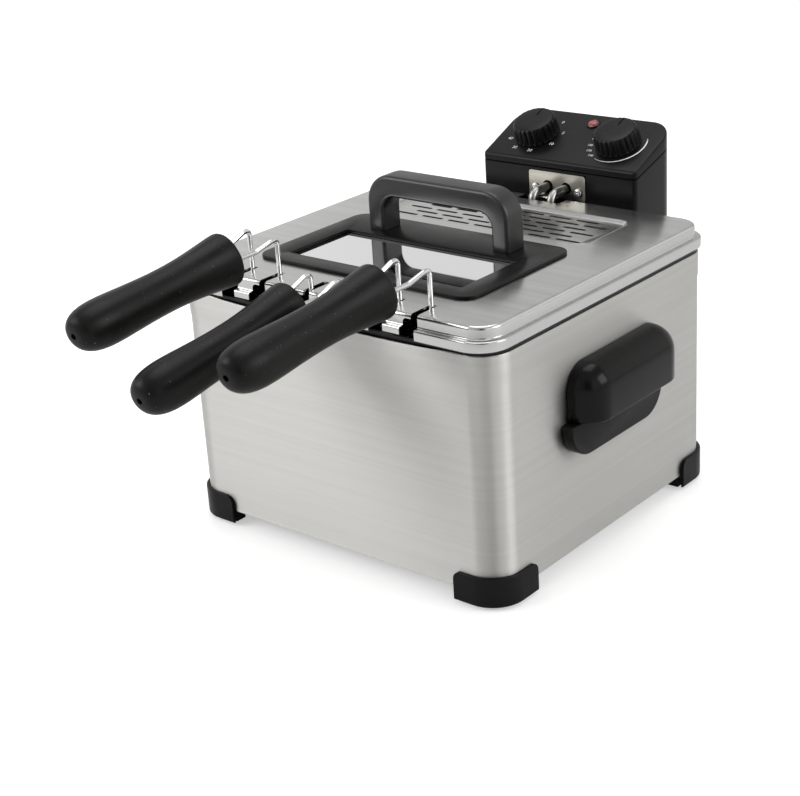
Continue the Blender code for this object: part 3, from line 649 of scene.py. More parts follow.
@dataclass(frozen=True)
class Moulded:
    """Moulded plastic or rubber with a fine grain."""

    colour: tuple[float, float, float] = (0.0035, 0.0032, 0.0032)
    worn: tuple[float, float, float] = (0.0055, 0.0052, 0.0052)
    rough: tuple[float, float] = (0.26, 0.38)
    grain: float = 2600.0
    depth: float = 0.00004
    dusty: bool = False
    shine: float = 0.16
    dust: tuple[float, float, float, float] = (0.10, 0.10, 0.10, 1.0)

    def build(self, name: str, shared: SharedEffects) -> bpy.types.Material:
        """Makes the material."""
        surface = Surface(name, self.colour, self.rough[0])
        surface.shader.inputs["Specular IOR Level"].default_value = self.shine
        grain = surface.group(shared.grain, grain=self.grain, patch=40.0)
        surface.vary("Roughness", grain.outputs["Wear"], *self.rough)
        surface.tint(grain.outputs["Wear"], self.colour, self.worn)
        surface.bump(grain.outputs["Height"], 0.35, self.depth)
        if self.dusty:
            specks = surface.group(shared.smudges, specks=700.0)
            base = surface.shader.inputs["Base Color"]
            dusted = blend(surface.tree, specks.outputs["Dust"], base.links[0].from_socket, self.dust)
            surface.tree.links.new(dusted, base)
        return surface.material


@dataclass(frozen=True)
class CoatedPane:
    """A mirror-coated glass pane."""

    colour: tuple[float, float, float] = (0.93, 0.94, 0.95)

    def build(self, name: str, shared: SharedEffects) -> bpy.types.Material:
        """Makes the material."""
        surface = Surface(name, self.colour, 0.03, 1.0)
        marks = surface.group(shared.smudges, size=22.0)
        surface.vary("Roughness", marks.outputs["Smear"], 0.015, 0.06)
        return surface.material


@dataclass(frozen=True)
class Lens:
    """A tinted lamp lens."""

    colour: tuple[float, float, float] = (0.18, 0.008, 0.006)

    def build(self, name: str, shared: SharedEffects) -> bpy.types.Material:
        """Makes the material."""
        surface = Surface(name, self.colour, 0.12, coat_weight=0.6, coat_roughness=0.05)
        ribs = surface.add("ShaderNodeTexWave")
        ribs.inputs["Scale"].default_value = 420.0
        place = surface.add("ShaderNodeTexCoord")
        surface.tree.links.new(place.outputs["Object"], ribs.inputs["Vector"])
        surface.bump(ribs.outputs["Fac"], 0.4, 0.0002)
        marks = surface.group(shared.smudges, size=120.0)
        surface.tint(marks.outputs["Smear"], self.colour, (0.30, 0.02, 0.015))
        return surface.material


@dataclass(frozen=True)
class Felt:
    """A filter pad of matted fibres."""

    colour: tuple[float, float, float] = (0.05, 0.05, 0.05)

    def build(self, name: str, shared: SharedEffects) -> bpy.types.Material:
        """Makes the material."""
        surface = Surface(name, self.colour, 0.95)
        fibres = surface.group(shared.grain, grain=1500.0, patch=300.0)
        surface.tint(fibres.outputs["Wear"], self.colour, (0.09, 0.09, 0.085))
        surface.bump(fibres.outputs["Height"], 0.9, 0.0004)
        return surface.material


class Finishes:
    """Every finish of the fryer, made once and looked up by name."""

    def __init__(self) -> None:
        """Builds the shared groups and all materials."""
        shared = SharedEffects.make()
        recipes = {
            "housing_steel": BrushedSteel(),
            "lid_steel": BrushedSteel((0.52, 0.52, 0.515), (0.60, 0.60, 0.595), (0.17, 0.25), 700.0, 0.4, 0.02,
                                      along_x=True),
            "bracket_steel": BrushedSteel((0.30, 0.29, 0.25), (0.42, 0.40, 0.36), (0.22, 0.34)),
            "element_steel": BrushedSteel((0.34, 0.335, 0.32), (0.46, 0.455, 0.44), (0.26, 0.36)),
            "bright_wire": Polished(),
            "basket_steel": Polished((0.62, 0.62, 0.61), (0.18, 0.30)),
            "contact_brass": Polished((0.72, 0.50, 0.20)),
            "black_moulding": Moulded(),
            "black_grip": Moulded((0.0040, 0.0036, 0.0034), (0.0065, 0.0060, 0.0057), (0.32, 0.44), 3200.0,
                                  0.00005, dusty=True),
            "handle_black": Moulded((0.0060, 0.0056, 0.0056), (0.0090, 0.0086, 0.0086), (0.30, 0.40), 2600.0,
                                    0.00003, shine=0.55),
            "gloss_black": Moulded((0.0030, 0.0028, 0.0027), (0.0045, 0.0042, 0.0040), (0.16, 0.24), 1500.0,
                                   0.00001),
            "panel_black": Moulded((0.0040, 0.0037, 0.0038), (0.0060, 0.0056, 0.0057), (0.30, 0.40), 2400.0,
                                   0.00003),
            "knob_black": Moulded((0.0040, 0.0038, 0.0038), (0.0060, 0.0056, 0.0056), (0.26, 0.36), 3000.0,
                                  0.00003),
            "pot_enamel": Moulded((0.010, 0.010, 0.011), (0.020, 0.020, 0.021), (0.16, 0.26), 900.0, 0.00002),
            "foot_rubber": Moulded((0.010,) * 3, (0.018,) * 3, (0.75, 0.92), 1800.0, 0.0001),
            "seal_rubber": Moulded((0.012,) * 3, (0.020,) * 3, (0.70, 0.88), 2000.0, 0.00006),
            "base_black": Moulded((0.015,) * 3, (0.026,) * 3, (0.50, 0.65), 700.0, 0.00005),
            "print_white": Moulded((0.74,) * 3, (0.82,) * 3, (0.50, 0.62), 2000.0, 0.00001, shine=0.5),
            "reset_red": Moulded((0.30, 0.015, 0.010), (0.36, 0.025, 0.02), (0.28, 0.36)),
            "mechanism_metal": Polished((0.55, 0.53, 0.48), (0.35, 0.50)),
            "window_pane": CoatedPane(),
            "lamp_red": Lens(),
            "filter_felt": Felt(),
        }
        self.made = {name: recipe.build(name, shared) for name, recipe in recipes.items()}

    def dress(self, obj: bpy.types.Object, name: str, smooth_angle: float = 32.0) -> bpy.types.Object:
        """Gives a new piece its finish and smooth shading."""
        obj.data.materials.clear()
        obj.data.materials.append(self.made[name])
        for face in obj.data.polygons:
            face.material_index = 0
        obj.data.shade_smooth()
        obj.data.set_sharp_from_angle(angle=math.radians(smooth_angle))
        return obj

    def dress_node(self, node: str, name: str) -> None:
        """Gives a carried-over CAD node its finish."""
        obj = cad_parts[node]
        if not obj.material_slots:
            obj.data.materials.append(self.made[name])
        for held in obj.material_slots:
            held.material = self.made[name]
        LOG.info("kept %s as %s", node, name)


@dataclass(kw_only=True)
class Assembly:
    """A sub-assembly that rides on one CAD body."""

    finishes: Finishes
    body: str

    def add(self, obj: bpy.types.Object, finish: str, slot: str, *nodes: str, body: str | None = None,
            smooth_angle: float = 32.0) -> None:
        """Dresses a piece and hands it to the frame.

        Args:
            obj: the finished piece.
            finish: the name of its material.
            slot: the name of a material slot; not used.
            *nodes: CAD nodes that it stands for.
            body: the CAD body, when it isn't the assembly's own.
            smooth_angle: edges sharper than this stay sharp.
        """
        self.finishes.dress(obj, finish, smooth_angle)
        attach(obj, body or self.body)
        if nodes:
            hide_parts(*nodes)
        LOG.info("%s: %d faces on %s", obj.name, len(obj.data.polygons), body or self.body)

    def keep(self, finish: str, *nodes: str) -> None:
        """Gives CAD nodes that are shown as they are their finish."""
        for node in nodes:
            self.finishes.dress_node(node, finish)


MID_Y = (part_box("housing_shell")[0].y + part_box("housing_shell")[1].y) / 2


def at(x: float, y: float, z: float) -> Vector:
    """A point given from the housing's own centre."""
    return Vector((x, y + MID_Y, z))


# ---------------------------------------------------------------- housing
@dataclass(kw_only=True)
class Housing(Assembly):
    """The steel box, its feet, side handles and rear guide."""

    body: str = "housing"
    corner: float = 0.021
    sheet: float = 0.0012
    lip: float = 0.010
    band_drop: float = 0.0165
    band_step: float = 0.0004
    dip: float = 0.0019
    dip_half: float = 0.100
    dip_steps: int = 28
    dip_run: tuple[float, float] = (-0.2, -0.120)
    foot_proud: float = 0.0024
    foot_round: float = 0.0016
    foot_top_round: float = 0.0008
    foot_end_round: float = 0.006
    foot_shelf: tuple[float, float] = (0.0084, 0.0107)
    foot_shelf_reach: float = 0.012
    hood_dome: float = 0.0175
    hood_wall: float = 0.0028
    hood_corner: float = 0.020
    hood_overlap: float = 0.03
    block_corner: float = 0.021
    block_edge: float = 0.0008
    upper_back: tuple[float, float, float] = (0.008, 0.012, 0.002)
    far: float = 0.3

    def build(self) -> None:
        """Builds every piece of the housing."""
        self.build_shell()
        for name, x_side, y_side in (("fl", -1, -1), ("fr", 1, -1), ("rl", -1, 1), ("rr", 1, 1)):
            self.build_foot(name, x_side, y_side)
            self.keep("foot_rubber", "foot_pad_" + name)
        for side in ("r", "l"):
            self.build_handle(side)
        self.keep("base_black", "base_plate")
        self.keep("housing_steel", "rear_guide")

    def build_shell(self) -> None:
        """The drawn box: a bottom lip and a band just under the rim that stands a little proud."""
        low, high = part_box("housing_shell")
        bottom, top, sheet, step, lip = low.z, high.z, self.sheet, self.band_step, self.lip
        band = top - self.band_drop
        outside = [(0.0005, bottom), (0.0, bottom + 0.0006), (step, bottom + 0.004), (step, band - 0.003),
                   (step * 0.6, band - 0.0012), (0.0, band), (0.0, top - 0.0005), (0.0004, top)]
        inside = [(sheet, top), (sheet, bottom + sheet), (lip, bottom + sheet), (lip, bottom)]
        plan = Plan.of_node("housing_shell", self.corner)
        shell = sweep("steel_housing", plan, outside + inside, Ends.LOOP)
        combine(shell, [self.front_dip(top)])
        self.add(shell, "housing_steel", "housing_steel", "housing_shell", smooth_angle=30)

    def front_dip(self, top: float) -> bpy.types.Object:
        """The cutter for the shallow hollow in the middle of the front's upper edge."""
        edge = []
        for step in range(self.dip_steps + 1):
            share = 2 * step / self.dip_steps - 1
            edge.append((share * self.dip_half, -self.dip * (1 - share ** 4) + 0.00001))
        outline = edge + [(self.dip_half, 0.01), (-self.dip_half, 0.01)]
        return loft("front_dip", [[at(x, y, top + z) for x, z in outline] for y in self.dip_run])

    def build_foot(self, name: str, x_side: int, y_side: int) -> None:
        """A wrap-round corner foot with soft edges.

        Args:
            name: the corner, such as fl for front left.
            x_side: 1 for the fryer's right, -1 for its left.
            y_side: 1 for the rear, -1 for the front.
        """
        node = "foot_" + name
        low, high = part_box(node)
        proud = high.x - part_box("housing_shell")[1].x if x_side > 0 else self.foot_proud
        proud = max(proud, self.foot_proud)
        plan = Plan.of_node("housing_shell", self.corner + proud, grow=proud)
        inner, top, bottom, reach = proud - GAP, high.z, low.z, proud + self.foot_shelf_reach
        under, over = self.foot_shelf
        toe, brow = self.foot_round, self.foot_top_round
        outer = [(toe, bottom)] + arc(toe, bottom + toe, toe, 270, 180, 4)
        outer += arc(brow, top - brow, brow, 180, 90, 3) + [(inner, top)]
        inside = [(inner, over), (reach, over), (reach, under), (inner, under), (inner, bottom)]
        ring = sweep("wrap_" + node, plan, outer + inside, Ends.LOOP)
        far, floor, over = self.far, -0.05, top + 0.00005
        x0, x1 = sorted((low.x if x_side > 0 else high.x, x_side * far))
        y0, y1 = sorted((low.y if y_side > 0 else high.y, MID_Y + y_side * far))
        corner = [
            block("keep_x", (x0, -far, floor), (x1, far, over), self.foot_end_round, Axis.Y),
            block("keep_y", (-far, y0, floor), (far, y1, over), self.foot_end_round, Axis.X),
        ]
        combine(ring, corner, Combine.OVERLAP)
        self.add(ring, "black_moulding", "black_moulding", node)

    def build_handle(self, side: str) -> None:
        """A scoop handle: a domed hood and its backing block."""
        low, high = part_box("side_handle_r_hood")
        wall, dome, thick, round_lip = low.x, self.hood_dome, self.hood_wall, self.hood_wall / 2
        corner = self.hood_corner
        plan = Plan((wall - self.hood_overlap, low.y), (high.x, high.y), corner, corner, 18)
        inner = [(dome, high.z - thick)] + arc(dome, high.z - dome, dome - thick, 90, 180, 10)
        lip = arc(round_lip, low.z + round_lip, round_lip, 0, -180, 6)
        hood = sweep("hood_" + side, plan, inner + lip + arc(dome, high.z - dome, dome, 180, 90, 12))
        combine(hood, [block("wall_cut", (wall - 0.1, low.y - 0.1, 0.0), (wall, high.y + 0.1, self.far))])
        plate = self.backing_block("handle_block_" + side)
        if side == "l":
            mirrored(hood)
            mirrored(plate)
        self.add(hood, "gloss_black", "black_moulding", f"side_handle_{side}_hood", smooth_angle=50)
        self.add(plate, "black_moulding", "black_moulding", f"side_handle_{side}_plate")

    def backing_block(self, name: str) -> bpy.types.Object:
        """The block under the hood, with round lower corners, and its thin upper part behind the hood."""
        low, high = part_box("side_handle_r_plate")
        hood_low, hood_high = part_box("side_handle_r_hood")
        top, edge = hood_low.z - GAP, self.block_edge
        plan = Plan((low.y, low.z), (high.y, top), self.block_corner, 0.0006, 12)
        levels = [(0.0, low.x), (0.0, high.x - edge), (0.0003, high.x - edge * 0.4), (edge, high.x)]
        lower = loft(name, [[Vector((x, p.x, p.y)) for p in plan.ring(inset, 0.0)] for inset, x in levels])
        front, rear, thick = self.upper_back
        corners = (low.x, hood_low.y + front, top - 0.003), (low.x + thick, hood_high.y - rear, high.z)
        return combine(lower, [block("upper_back", *corners, thick, Axis.X, 4)], Combine.JOIN)


# ---------------------------------------------------------------- pot and baskets
@dataclass(kw_only=True)
class Pot(Assembly):
    """The enamelled oil pot whose flange shows as a dark band under the lid."""

    body: str = "pot"
    rim_corner: float = 0.020
    wall_corner: float = 0.030
    half_width: float = 0.1245
    sheet: float = 0.0014
    floor_round: float = 0.006
    mark_levels: tuple[float, ...] = (0.098, 0.132)
    mark_half: float = 0.015
    mark_tall: float = 0.0012

    def build(self) -> None:
        """Builds the pot with its fill marks."""
        low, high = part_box("oil_pot")
        rim = Plan.of_node("oil_pot", self.rim_corner)
        half, sheet, bend = self.half_width, self.sheet, self.floor_round
        wall = Plan((-half, MID_Y - half), (half, MID_Y + half), self.wall_corner, self.wall_corner)
        floor, top = low.z, high.z
        outside = [(0.008, floor)] + arc(bend, floor + bend, bend, 250, 180)
        inside = [(sheet, top - 0.002)] + arc(bend + sheet, floor + bend + sheet, bend, 180, 250)
        rings = [wall.ring(inset, z) for inset, z in outside + [(0.0, top - 0.0025)]]
        flange = ((0.0, top - 0.0022), (0.0, top - 0.0004), (0.0004, top))
        rings += [rim.ring(inset, z) for inset, z in flange]
        rings += [wall.ring(-0.001, top), wall.ring(sheet * 0.4, top - 0.0005)]
        rings += [wall.ring(inset, z) for inset, z in inside + [(0.010, floor + sheet)]]
        self.add(loft("enamel_pot", rings), "pot_enamel", "pot_enamel", "oil_pot")
        y = half - sheet
        marks = [block(f"fill_mark{index}", at(-self.mark_half, y - 0.0006, z),
                       at(self.mark_half, y + 0.0005, z + self.mark_tall), 0.0005, Axis.Y, 4)
                 for index, z in enumerate(self.mark_levels)]
        self.add(merge("fill_marks", marks), "basket_steel", "pot_enamel")


@dataclass(kw_only=True)
class Basket(Assembly):
    """A wire basket, its bent handle wire and its moulded grip.

    The handle wires go down at drop_y from the housing's centre and bend at the height hump, the second one
    lower by sag. The grip's wire end has its middle at grip, as Y and height, and falls by droop radians.
    """

    size: str
    lattice: Tree
    drop_y: float
    hump: float
    grip: tuple[float, float]
    droop: float
    corner: float
    sag: float = 0.0
    mesh_pitch: float = 0.0075
    mesh_radius: float = 0.00055
    mesh_inset: float = 0.0016
    rim_radius: float = 0.0016
    middle_radius: float = 0.0011
    middle_height: float = 0.030
    wire_radius: float = 0.0017
    wire_bend: float = 0.0032
    rise: float = 0.0045
    grip_sides: int = 12
    rake: float = 0.10
    hole_radius: float = 0.0021
    sections: tuple[tuple[float, float, float], ...] = (
        (0.000, 0.0162, 0.0192), (0.003, 0.0170, 0.0201), (0.018, 0.0156, 0.0180), (0.042, 0.0136, 0.0152),
        (0.066, 0.0134, 0.0148), (0.090, 0.0148, 0.0158), (0.110, 0.0162, 0.0168), (0.123, 0.0150, 0.0152),
        (0.1305, 0.0110, 0.0112), (0.1330, 0.0055, 0.0056),
    )

    def build(self) -> None:
        """Builds the basket, its wires and its grip."""
        self.build_basket()
        self.build_wires()
        self.build_grip()

    def build_basket(self) -> None:
        """The wire mesh walls and floor, with thicker rods round the rim and the foot."""
        node = "basket_" + self.size
        low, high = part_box(node)
        inset, corner = self.mesh_inset, self.corner
        plan = Plan((low.x + inset, low.y + inset), (high.x - inset, high.y - inset), corner, corner, 4)
        rim = high.z - self.rim_radius
        sheet = self.basket_sheet(plan, low.z + 0.002, rim)
        pieces = [self.lattice.grow("mesh_" + node, sheet, wire_radius=self.mesh_radius, sides=5)]
        rods = ((rim, 0.0, self.rim_radius), (low.z + 0.0016, 0.002, self.rim_radius),
                (low.z + self.middle_height, 0.0, self.middle_radius))
        for index, (z, grow, radius) in enumerate(rods):
            path = Plan(plan.low, plan.high, corner, corner, 8).ring(grow, z)
            pieces.append(rod(f"rod{index}", path, radius, 3, True))
        self.add(merge("wire_" + node, pieces), "basket_steel", "basket_steel", node, smooth_angle=60)

    def basket_sheet(self, plan: Plan, floor: float, rim: float) -> bpy.types.Mesh:
        """An open box of quads about one mesh pitch across, whose edges become wires."""
        bm = bmesh.new()
        outline = self.even_points(plan.ring(0.0, floor))
        levels = max(2, round((rim - floor) / self.mesh_pitch))
        rows = [[bm.verts.new((p.x, p.y, floor + (rim - floor) * level / levels)) for p in outline]
                for level in range(levels + 1)]
        for row, above in zip(rows, rows[1:]):
            for step in range(len(row)):
                after = (step + 1) % len(row)
                bm.faces.new((row[step], row[after], above[after], above[step]))
        for axis in (0, 1):
            self.floor_wires(bm, plan, floor, axis)
        mesh = bpy.data.meshes.new("sheet")
        bm.to_mesh(mesh)
        bm.free()
        return mesh

    def even_points(self, ring: Ring) -> Ring:
        """Points about one mesh pitch apart along a closed ring."""
        loop = ring + ring[:1]
        total = sum((b - a).length for a, b in zip(loop, loop[1:]))
        count = round(total / self.mesh_pitch)
        points, walked, target = [], 0.0, 0.0
        for a, b in zip(loop, loop[1:]):
            length = (b - a).length
            while length > 0 and target <= walked + length and len(points) < count:
                points.append(a.lerp(b, (target - walked) / length))
                target += total / count
            walked += length
        return points

    def floor_wires(self, bm: bmesh.types.BMesh, plan: Plan, floor: float, axis: int) -> None:
        """Straight wires under the floor along one axis."""
        other = 1 - axis
        span = plan.high[other] - plan.low[other]
        count = round(span / self.mesh_pitch)
        for index in range(1, count):
            place = plan.low[other] + span * index / count
            edge_gap = min(place - plan.low[other], plan.high[other] - place)
            short = max(self.corner - edge_gap, 0.0)
            cut = self.corner - math.sqrt(max(self.corner ** 2 - short ** 2, 0.0))
            ends = []
            for limit in (plan.low[axis] + cut, plan.high[axis] - cut):
                point = [0.0, 0.0, floor - 0.0004 * axis]
                point[axis], point[other] = limit, place
                ends.append(bm.verts.new(point))
            bm.edges.new(ends)

    def build_wires(self) -> None:
        """The rod from the grip over its hump, down through the lid and across."""
        node = "basket_wire_" + self.size
        low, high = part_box(node)
        radius, drop = self.wire_radius, self.drop_y
        exit_y, exit_z = self.grip[0] - 0.004, self.hump - self.rise
        path = []
        for side, x in ((-1, low.x + radius), (1, high.x - radius)):
            top = self.hump + 0.0015 - (self.sag if side > 0 else 0.0)
            run = [at(x, exit_y, exit_z), at(x, drop - 0.0205, exit_z), at(x, drop - 0.0062, top - 0.0004),
                   at(x, drop, top), at(x, drop, low.z + radius)]
            path += run if side < 0 else run[::-1]
        wire = rod("handle_" + node, fillet(path, self.wire_bend), radius, 5)
        self.add(wire, "bright_wire", "bright_wire", node)

    def build_grip(self) -> None:
        """The moulded grip: a cage of ovals, smoothed, with a hanging hole in its free end."""
        node = "grip_" + self.size
        low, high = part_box(node)
        end = at((low.x + high.x) / 2, *self.grip)
        along = Vector((0, math.cos(self.droop), math.sin(self.droop)))
        lean = self.droop + self.rake
        turns = [2 * math.pi * (step + 0.5) / self.grip_sides for step in range(self.grip_sides)]
        rings = []
        for distance, wide, tall in self.sections:
            up = Vector((0, -tall * math.sin(lean), tall * math.cos(lean)))
            middle = end - along * distance
            rings.append([middle + Vector((wide * math.cos(t), 0, 0)) + up * math.sin(t) for t in turns])
        grip = loft("moulded_" + node, rings)
        smooth = grip.modifiers.new("Subdivision", "SUBSURF")
        smooth.levels = smooth.render_levels = 3
        bake(grip)
        tip = end - along * (self.sections[-1][0] - 0.004)
        place = Matrix.Translation(tip) @ along.to_track_quat("Z", "Y").to_matrix().to_4x4()
        hole = [(self.hole_radius, -0.02), (self.hole_radius, 0.004)]
        combine(grip, [turned("hanging_hole", hole, place, 24)])
        self.add(grip, "black_grip", "black_grip", node, smooth_angle=45)


# ---------------------------------------------------------------- lid
@dataclass(kw_only=True)
class Lid(Assembly):
    """The pressed steel lid with its window, handle, vent and filter."""

    slots: Tree
    body: str = "lid"
    corner: float = 0.021
    sheet: float = 0.0012
    skirt: float = 0.0072
    plateau_inset: float = 0.0042
    press_radius: float = 0.0012
    top_radius: float = 0.0024
    under_radius: float = 0.0014
    clearance: float = 0.01
    pair_x: float = 0.064
    spacing: float = 0.025
    slot: float = 0.0052
    slot_back: float = -0.1052
    keyhole: float = 0.0112
    keyhole_shift: float = -0.0035
    tab_half: float = 0.0125
    tab_lift: float = 0.0024
    notch: float = 0.037
    notch_y: float = 0.1125
    window_rim: float = 0.0040
    vent_flange: float = 0.005
    vent_corner: float = 0.010
    vent_rows: int = 6
    vent_columns: int = 7
    vent_border: float = 0.0190
    vent_slot: tuple[float, float] = (0.0190, 0.0030)
    vent_pitch: float = 0.0235
    frame_corner: float = 0.012
    frame_round: float = 0.0007
    pane_ledge: float = 0.0041
    collar: float = 0.0034
    leg: float = 0.0142
    bar_under: float = 0.2178
    bend_outer: float = 0.020
    bend_inner: float = 0.010
    bend_steps: int = 12
    handle_soft: float = 0.0030

    def __post_init__(self) -> None:
        """Reads the lid's box."""
        self.low, self.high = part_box("lid_panel")

    def build(self) -> None:
        """Builds every piece of the lid."""
        self.build_panel()
        self.build_vent()
        self.build_window()
        self.build_handle()
        self.keep("filter_felt", "filter_pad")
        self.keep("lid_steel", "filter_tray")
        self.keep("seal_rubber", "window_seal")
        self.keep("bright_wire", "handle_screw_1", "handle_screw_2")

    def build_panel(self) -> None:
        """The pressing: skirt, ledge, riser and plateau, with its openings."""
        bottom, top, s = self.low.z, self.high.z, self.sheet
        ledge, bend, crown = bottom + self.skirt, self.press_radius, self.top_radius
        inner = [(0.0068, top - s)] + arc(0.0068, top - s - self.under_radius, self.under_radius, 90, 180, 3)
        inner += [(0.0054, ledge + bend), (0.0036, ledge - s), (s, ledge - s - 0.0004), (s, bottom)]
        outer = [(s * 0.5, bottom), (0.0001, bottom + 0.0003), (0.0, bottom + 0.0008)]
        outer += arc(bend, ledge - 0.0014, bend, 180, 105, 4)
        outer += arc(0.0030, ledge + bend, bend, 270, 360, 4)
        outer += arc(self.plateau_inset + crown, top - crown, crown, 180, 90, 6)
        panel = sweep("pressed_lid", Plan.of_node("lid_panel", self.corner), inner + outer)
        combine(panel, self.openings(top))
        self.add(panel, "lid_steel", "lid_steel", "lid_panel", smooth_angle=35)

    def openings(self, top: float) -> list[bpy.types.Object]:
        """The cutters for the window, the vent, the rear notch and the handle slots."""
        seat_low, seat_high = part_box("window_seal")
        vent_low, vent_high = self.vent_box()
        rim, notch, past = self.window_rim, self.notch / 2, self.clearance
        under, over = self.low.z - past, top + past
        cutters = [
            block("window_hole", (seat_low.x - rim, seat_low.y - rim, under),
                  (seat_high.x + rim, seat_high.y + rim, over), 0.006),
            block("vent_hole", (*vent_low.xy, under), (*vent_high.xy, over), self.vent_corner, Axis.Z, 10),
            block("rear_notch", at(-notch, self.notch_y, under), at(notch, self.notch_y + 0.05, over), 0.002),
        ]
        front = self.low.y - MID_Y
        slit, hole = self.slot / 2, self.keyhole / 2
        for centre in (-self.pair_x, 0.0, self.pair_x):
            x = centre + self.keyhole_shift
            cutters.append(block("tab_lift", at(x - self.tab_half, front - past, under),
                                 at(x + self.tab_half, front + 0.0042, self.low.z + self.tab_lift)))
            for side in (-1, 1):
                x = centre + side * self.spacing / 2
                cutters.append(block("slit", at(x - slit, front - past, under),
                                     at(x + slit, self.slot_back, over), 0.0015))
                x += self.keyhole_shift
                cutters.append(block("keyhole", at(x - hole, front - past, under - past),
                                     at(x + hole, front + 0.0054, top - 0.0032), 0.0030, Axis.Y, 5))
        return cutters

    def vent_box(self) -> tuple[Vector, Vector]:
        """The vent opening's lowest and highest corners, in from the grille node's flange."""
        low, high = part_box("vent_grille")
        flange = Vector((self.vent_flange, self.vent_flange, 0.0))
        return low + flange, high - flange

    def build_vent(self) -> None:
        """The grille with its staggered slots."""
        low, high = self.vent_box()
        corner, top, floor, rows = self.vent_corner - GAP, self.high.z, high.z, self.vent_rows
        plan = Plan((low.x + GAP, low.y + GAP), (high.x - GAP, high.y - GAP), corner, corner, 12)
        profile = [(0.0, floor - 0.0012), (0.0, top - 0.0004), (0.0004, top - 0.0001), (0.0009, top - 0.0004)]
        tray = sweep("vent_tray", plan, profile + arc(0.0034, floor + 0.0006, 0.0006, 200, 270, 3))
        step = (high.y - low.y - self.vent_border) / (rows - 1)
        centre = ((low.x + high.x) / 2, (low.y + high.y) / 2, floor - 0.004)
        length, width = self.vent_slot
        cutter = self.slots.grow("vent_slots", columns=self.vent_columns, rows=rows, pitch=self.vent_pitch,
                                 row_step=step, slot_length=length, slot_width=width, depth=0.008, centre=centre)
        combine(tray, [cutter])
        self.add(tray, "lid_steel", "lid_steel", "vent_grille", smooth_angle=25)

    def build_window(self) -> None:
        """The frame with its nearly flush pane."""
        low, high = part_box("window_frame")
        glass_low, glass_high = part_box("window_glass")

        def pane_plan(grow: float, corner: float) -> Plan:
            """The pane's outline, grown or shrunk."""
            ends = (glass_low.x - grow, glass_low.y - grow), (glass_high.x + grow, glass_high.y + grow)
            return Plan(*ends, corner, corner)

        outer = Plan((low.x, low.y), (high.x, high.y), self.frame_corner, self.frame_corner)
        clear, seat = pane_plan(-self.pane_ledge, 0.0008), pane_plan(GAP, 0.001)
        collar = pane_plan(GAP + self.collar, 0.004)
        base, top, sill, soft = self.high.z + GAP, high.z, glass_high.z + GAP, self.frame_round
        edge = [(0.0, base)] + arc(soft, top - soft, soft, 180, 90, 4)
        rings = [outer.ring(inset, z) for inset, z in edge]
        mouth = ((-0.0005, top), (-0.0001, top - 0.0002), (0.0, top - 0.0006), (0.0, sill))
        rings += [clear.ring(inset, z) for inset, z in mouth]
        rings += [seat.ring(0.0, z) for z in (sill, low.z)] + [collar.ring(0.0, z) for z in (low.z, base)]
        window = loft("window_surround", rings, Ends.LOOP)
        self.add(window, "black_moulding", "black_moulding", "window_frame", smooth_angle=40)
        pane = block("mirror_pane", glass_low, glass_high, 0.0010)
        self.add(pane, "window_pane", "window_pane", "window_glass")

    def build_handle(self) -> None:
        """The U-shaped handle, its section carried from foot to foot."""
        low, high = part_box("lid_handle")
        leg, under, outer_r, inner_r = self.leg, self.bar_under, self.bend_outer, self.bend_inner
        pairs: list[tuple[Vector, Vector]] = []
        for side in (1, -1):
            run = [(Vector((side * (high.x - leg), 0, z)), Vector((side * high.x, 0, z)))
                   for z in (low.z, low.z + 0.004)]
            outer_c = Vector((side * (high.x - outer_r), 0, high.z - outer_r))
            inner_c = Vector((side * (high.x - leg - inner_r), 0, under - inner_r))
            for step in range(self.bend_steps + 1):
                turn = math.radians(90 * step / self.bend_steps)
                reach = Vector((side * math.cos(turn), 0, math.sin(turn)))
                run.append((inner_c + inner_r * reach, outer_c + outer_r * reach))
            pairs += run if side > 0 else run[::-1]
        handle = loft("lid_grip", [self.handle_ring(*pair, low.y, high.y) for pair in pairs])
        self.add(handle, "handle_black", "black_moulding", "lid_handle", smooth_angle=60)

    def handle_ring(self, inner: Vector, outer: Vector, front: float, rear: float) -> Ring:
        """One soft-cornered section between an inner and an outer point."""
        across, depth = (outer - inner).normalized(), (outer - inner).length
        flat = Plan((0.0, front), (depth, rear), self.handle_soft, self.handle_soft, 5).ring(0.0, 0.0)
        return [Vector((inner.x, 0.0, inner.z)) + across * p.x + Vector((0.0, p.y, 0.0)) for p in flat]


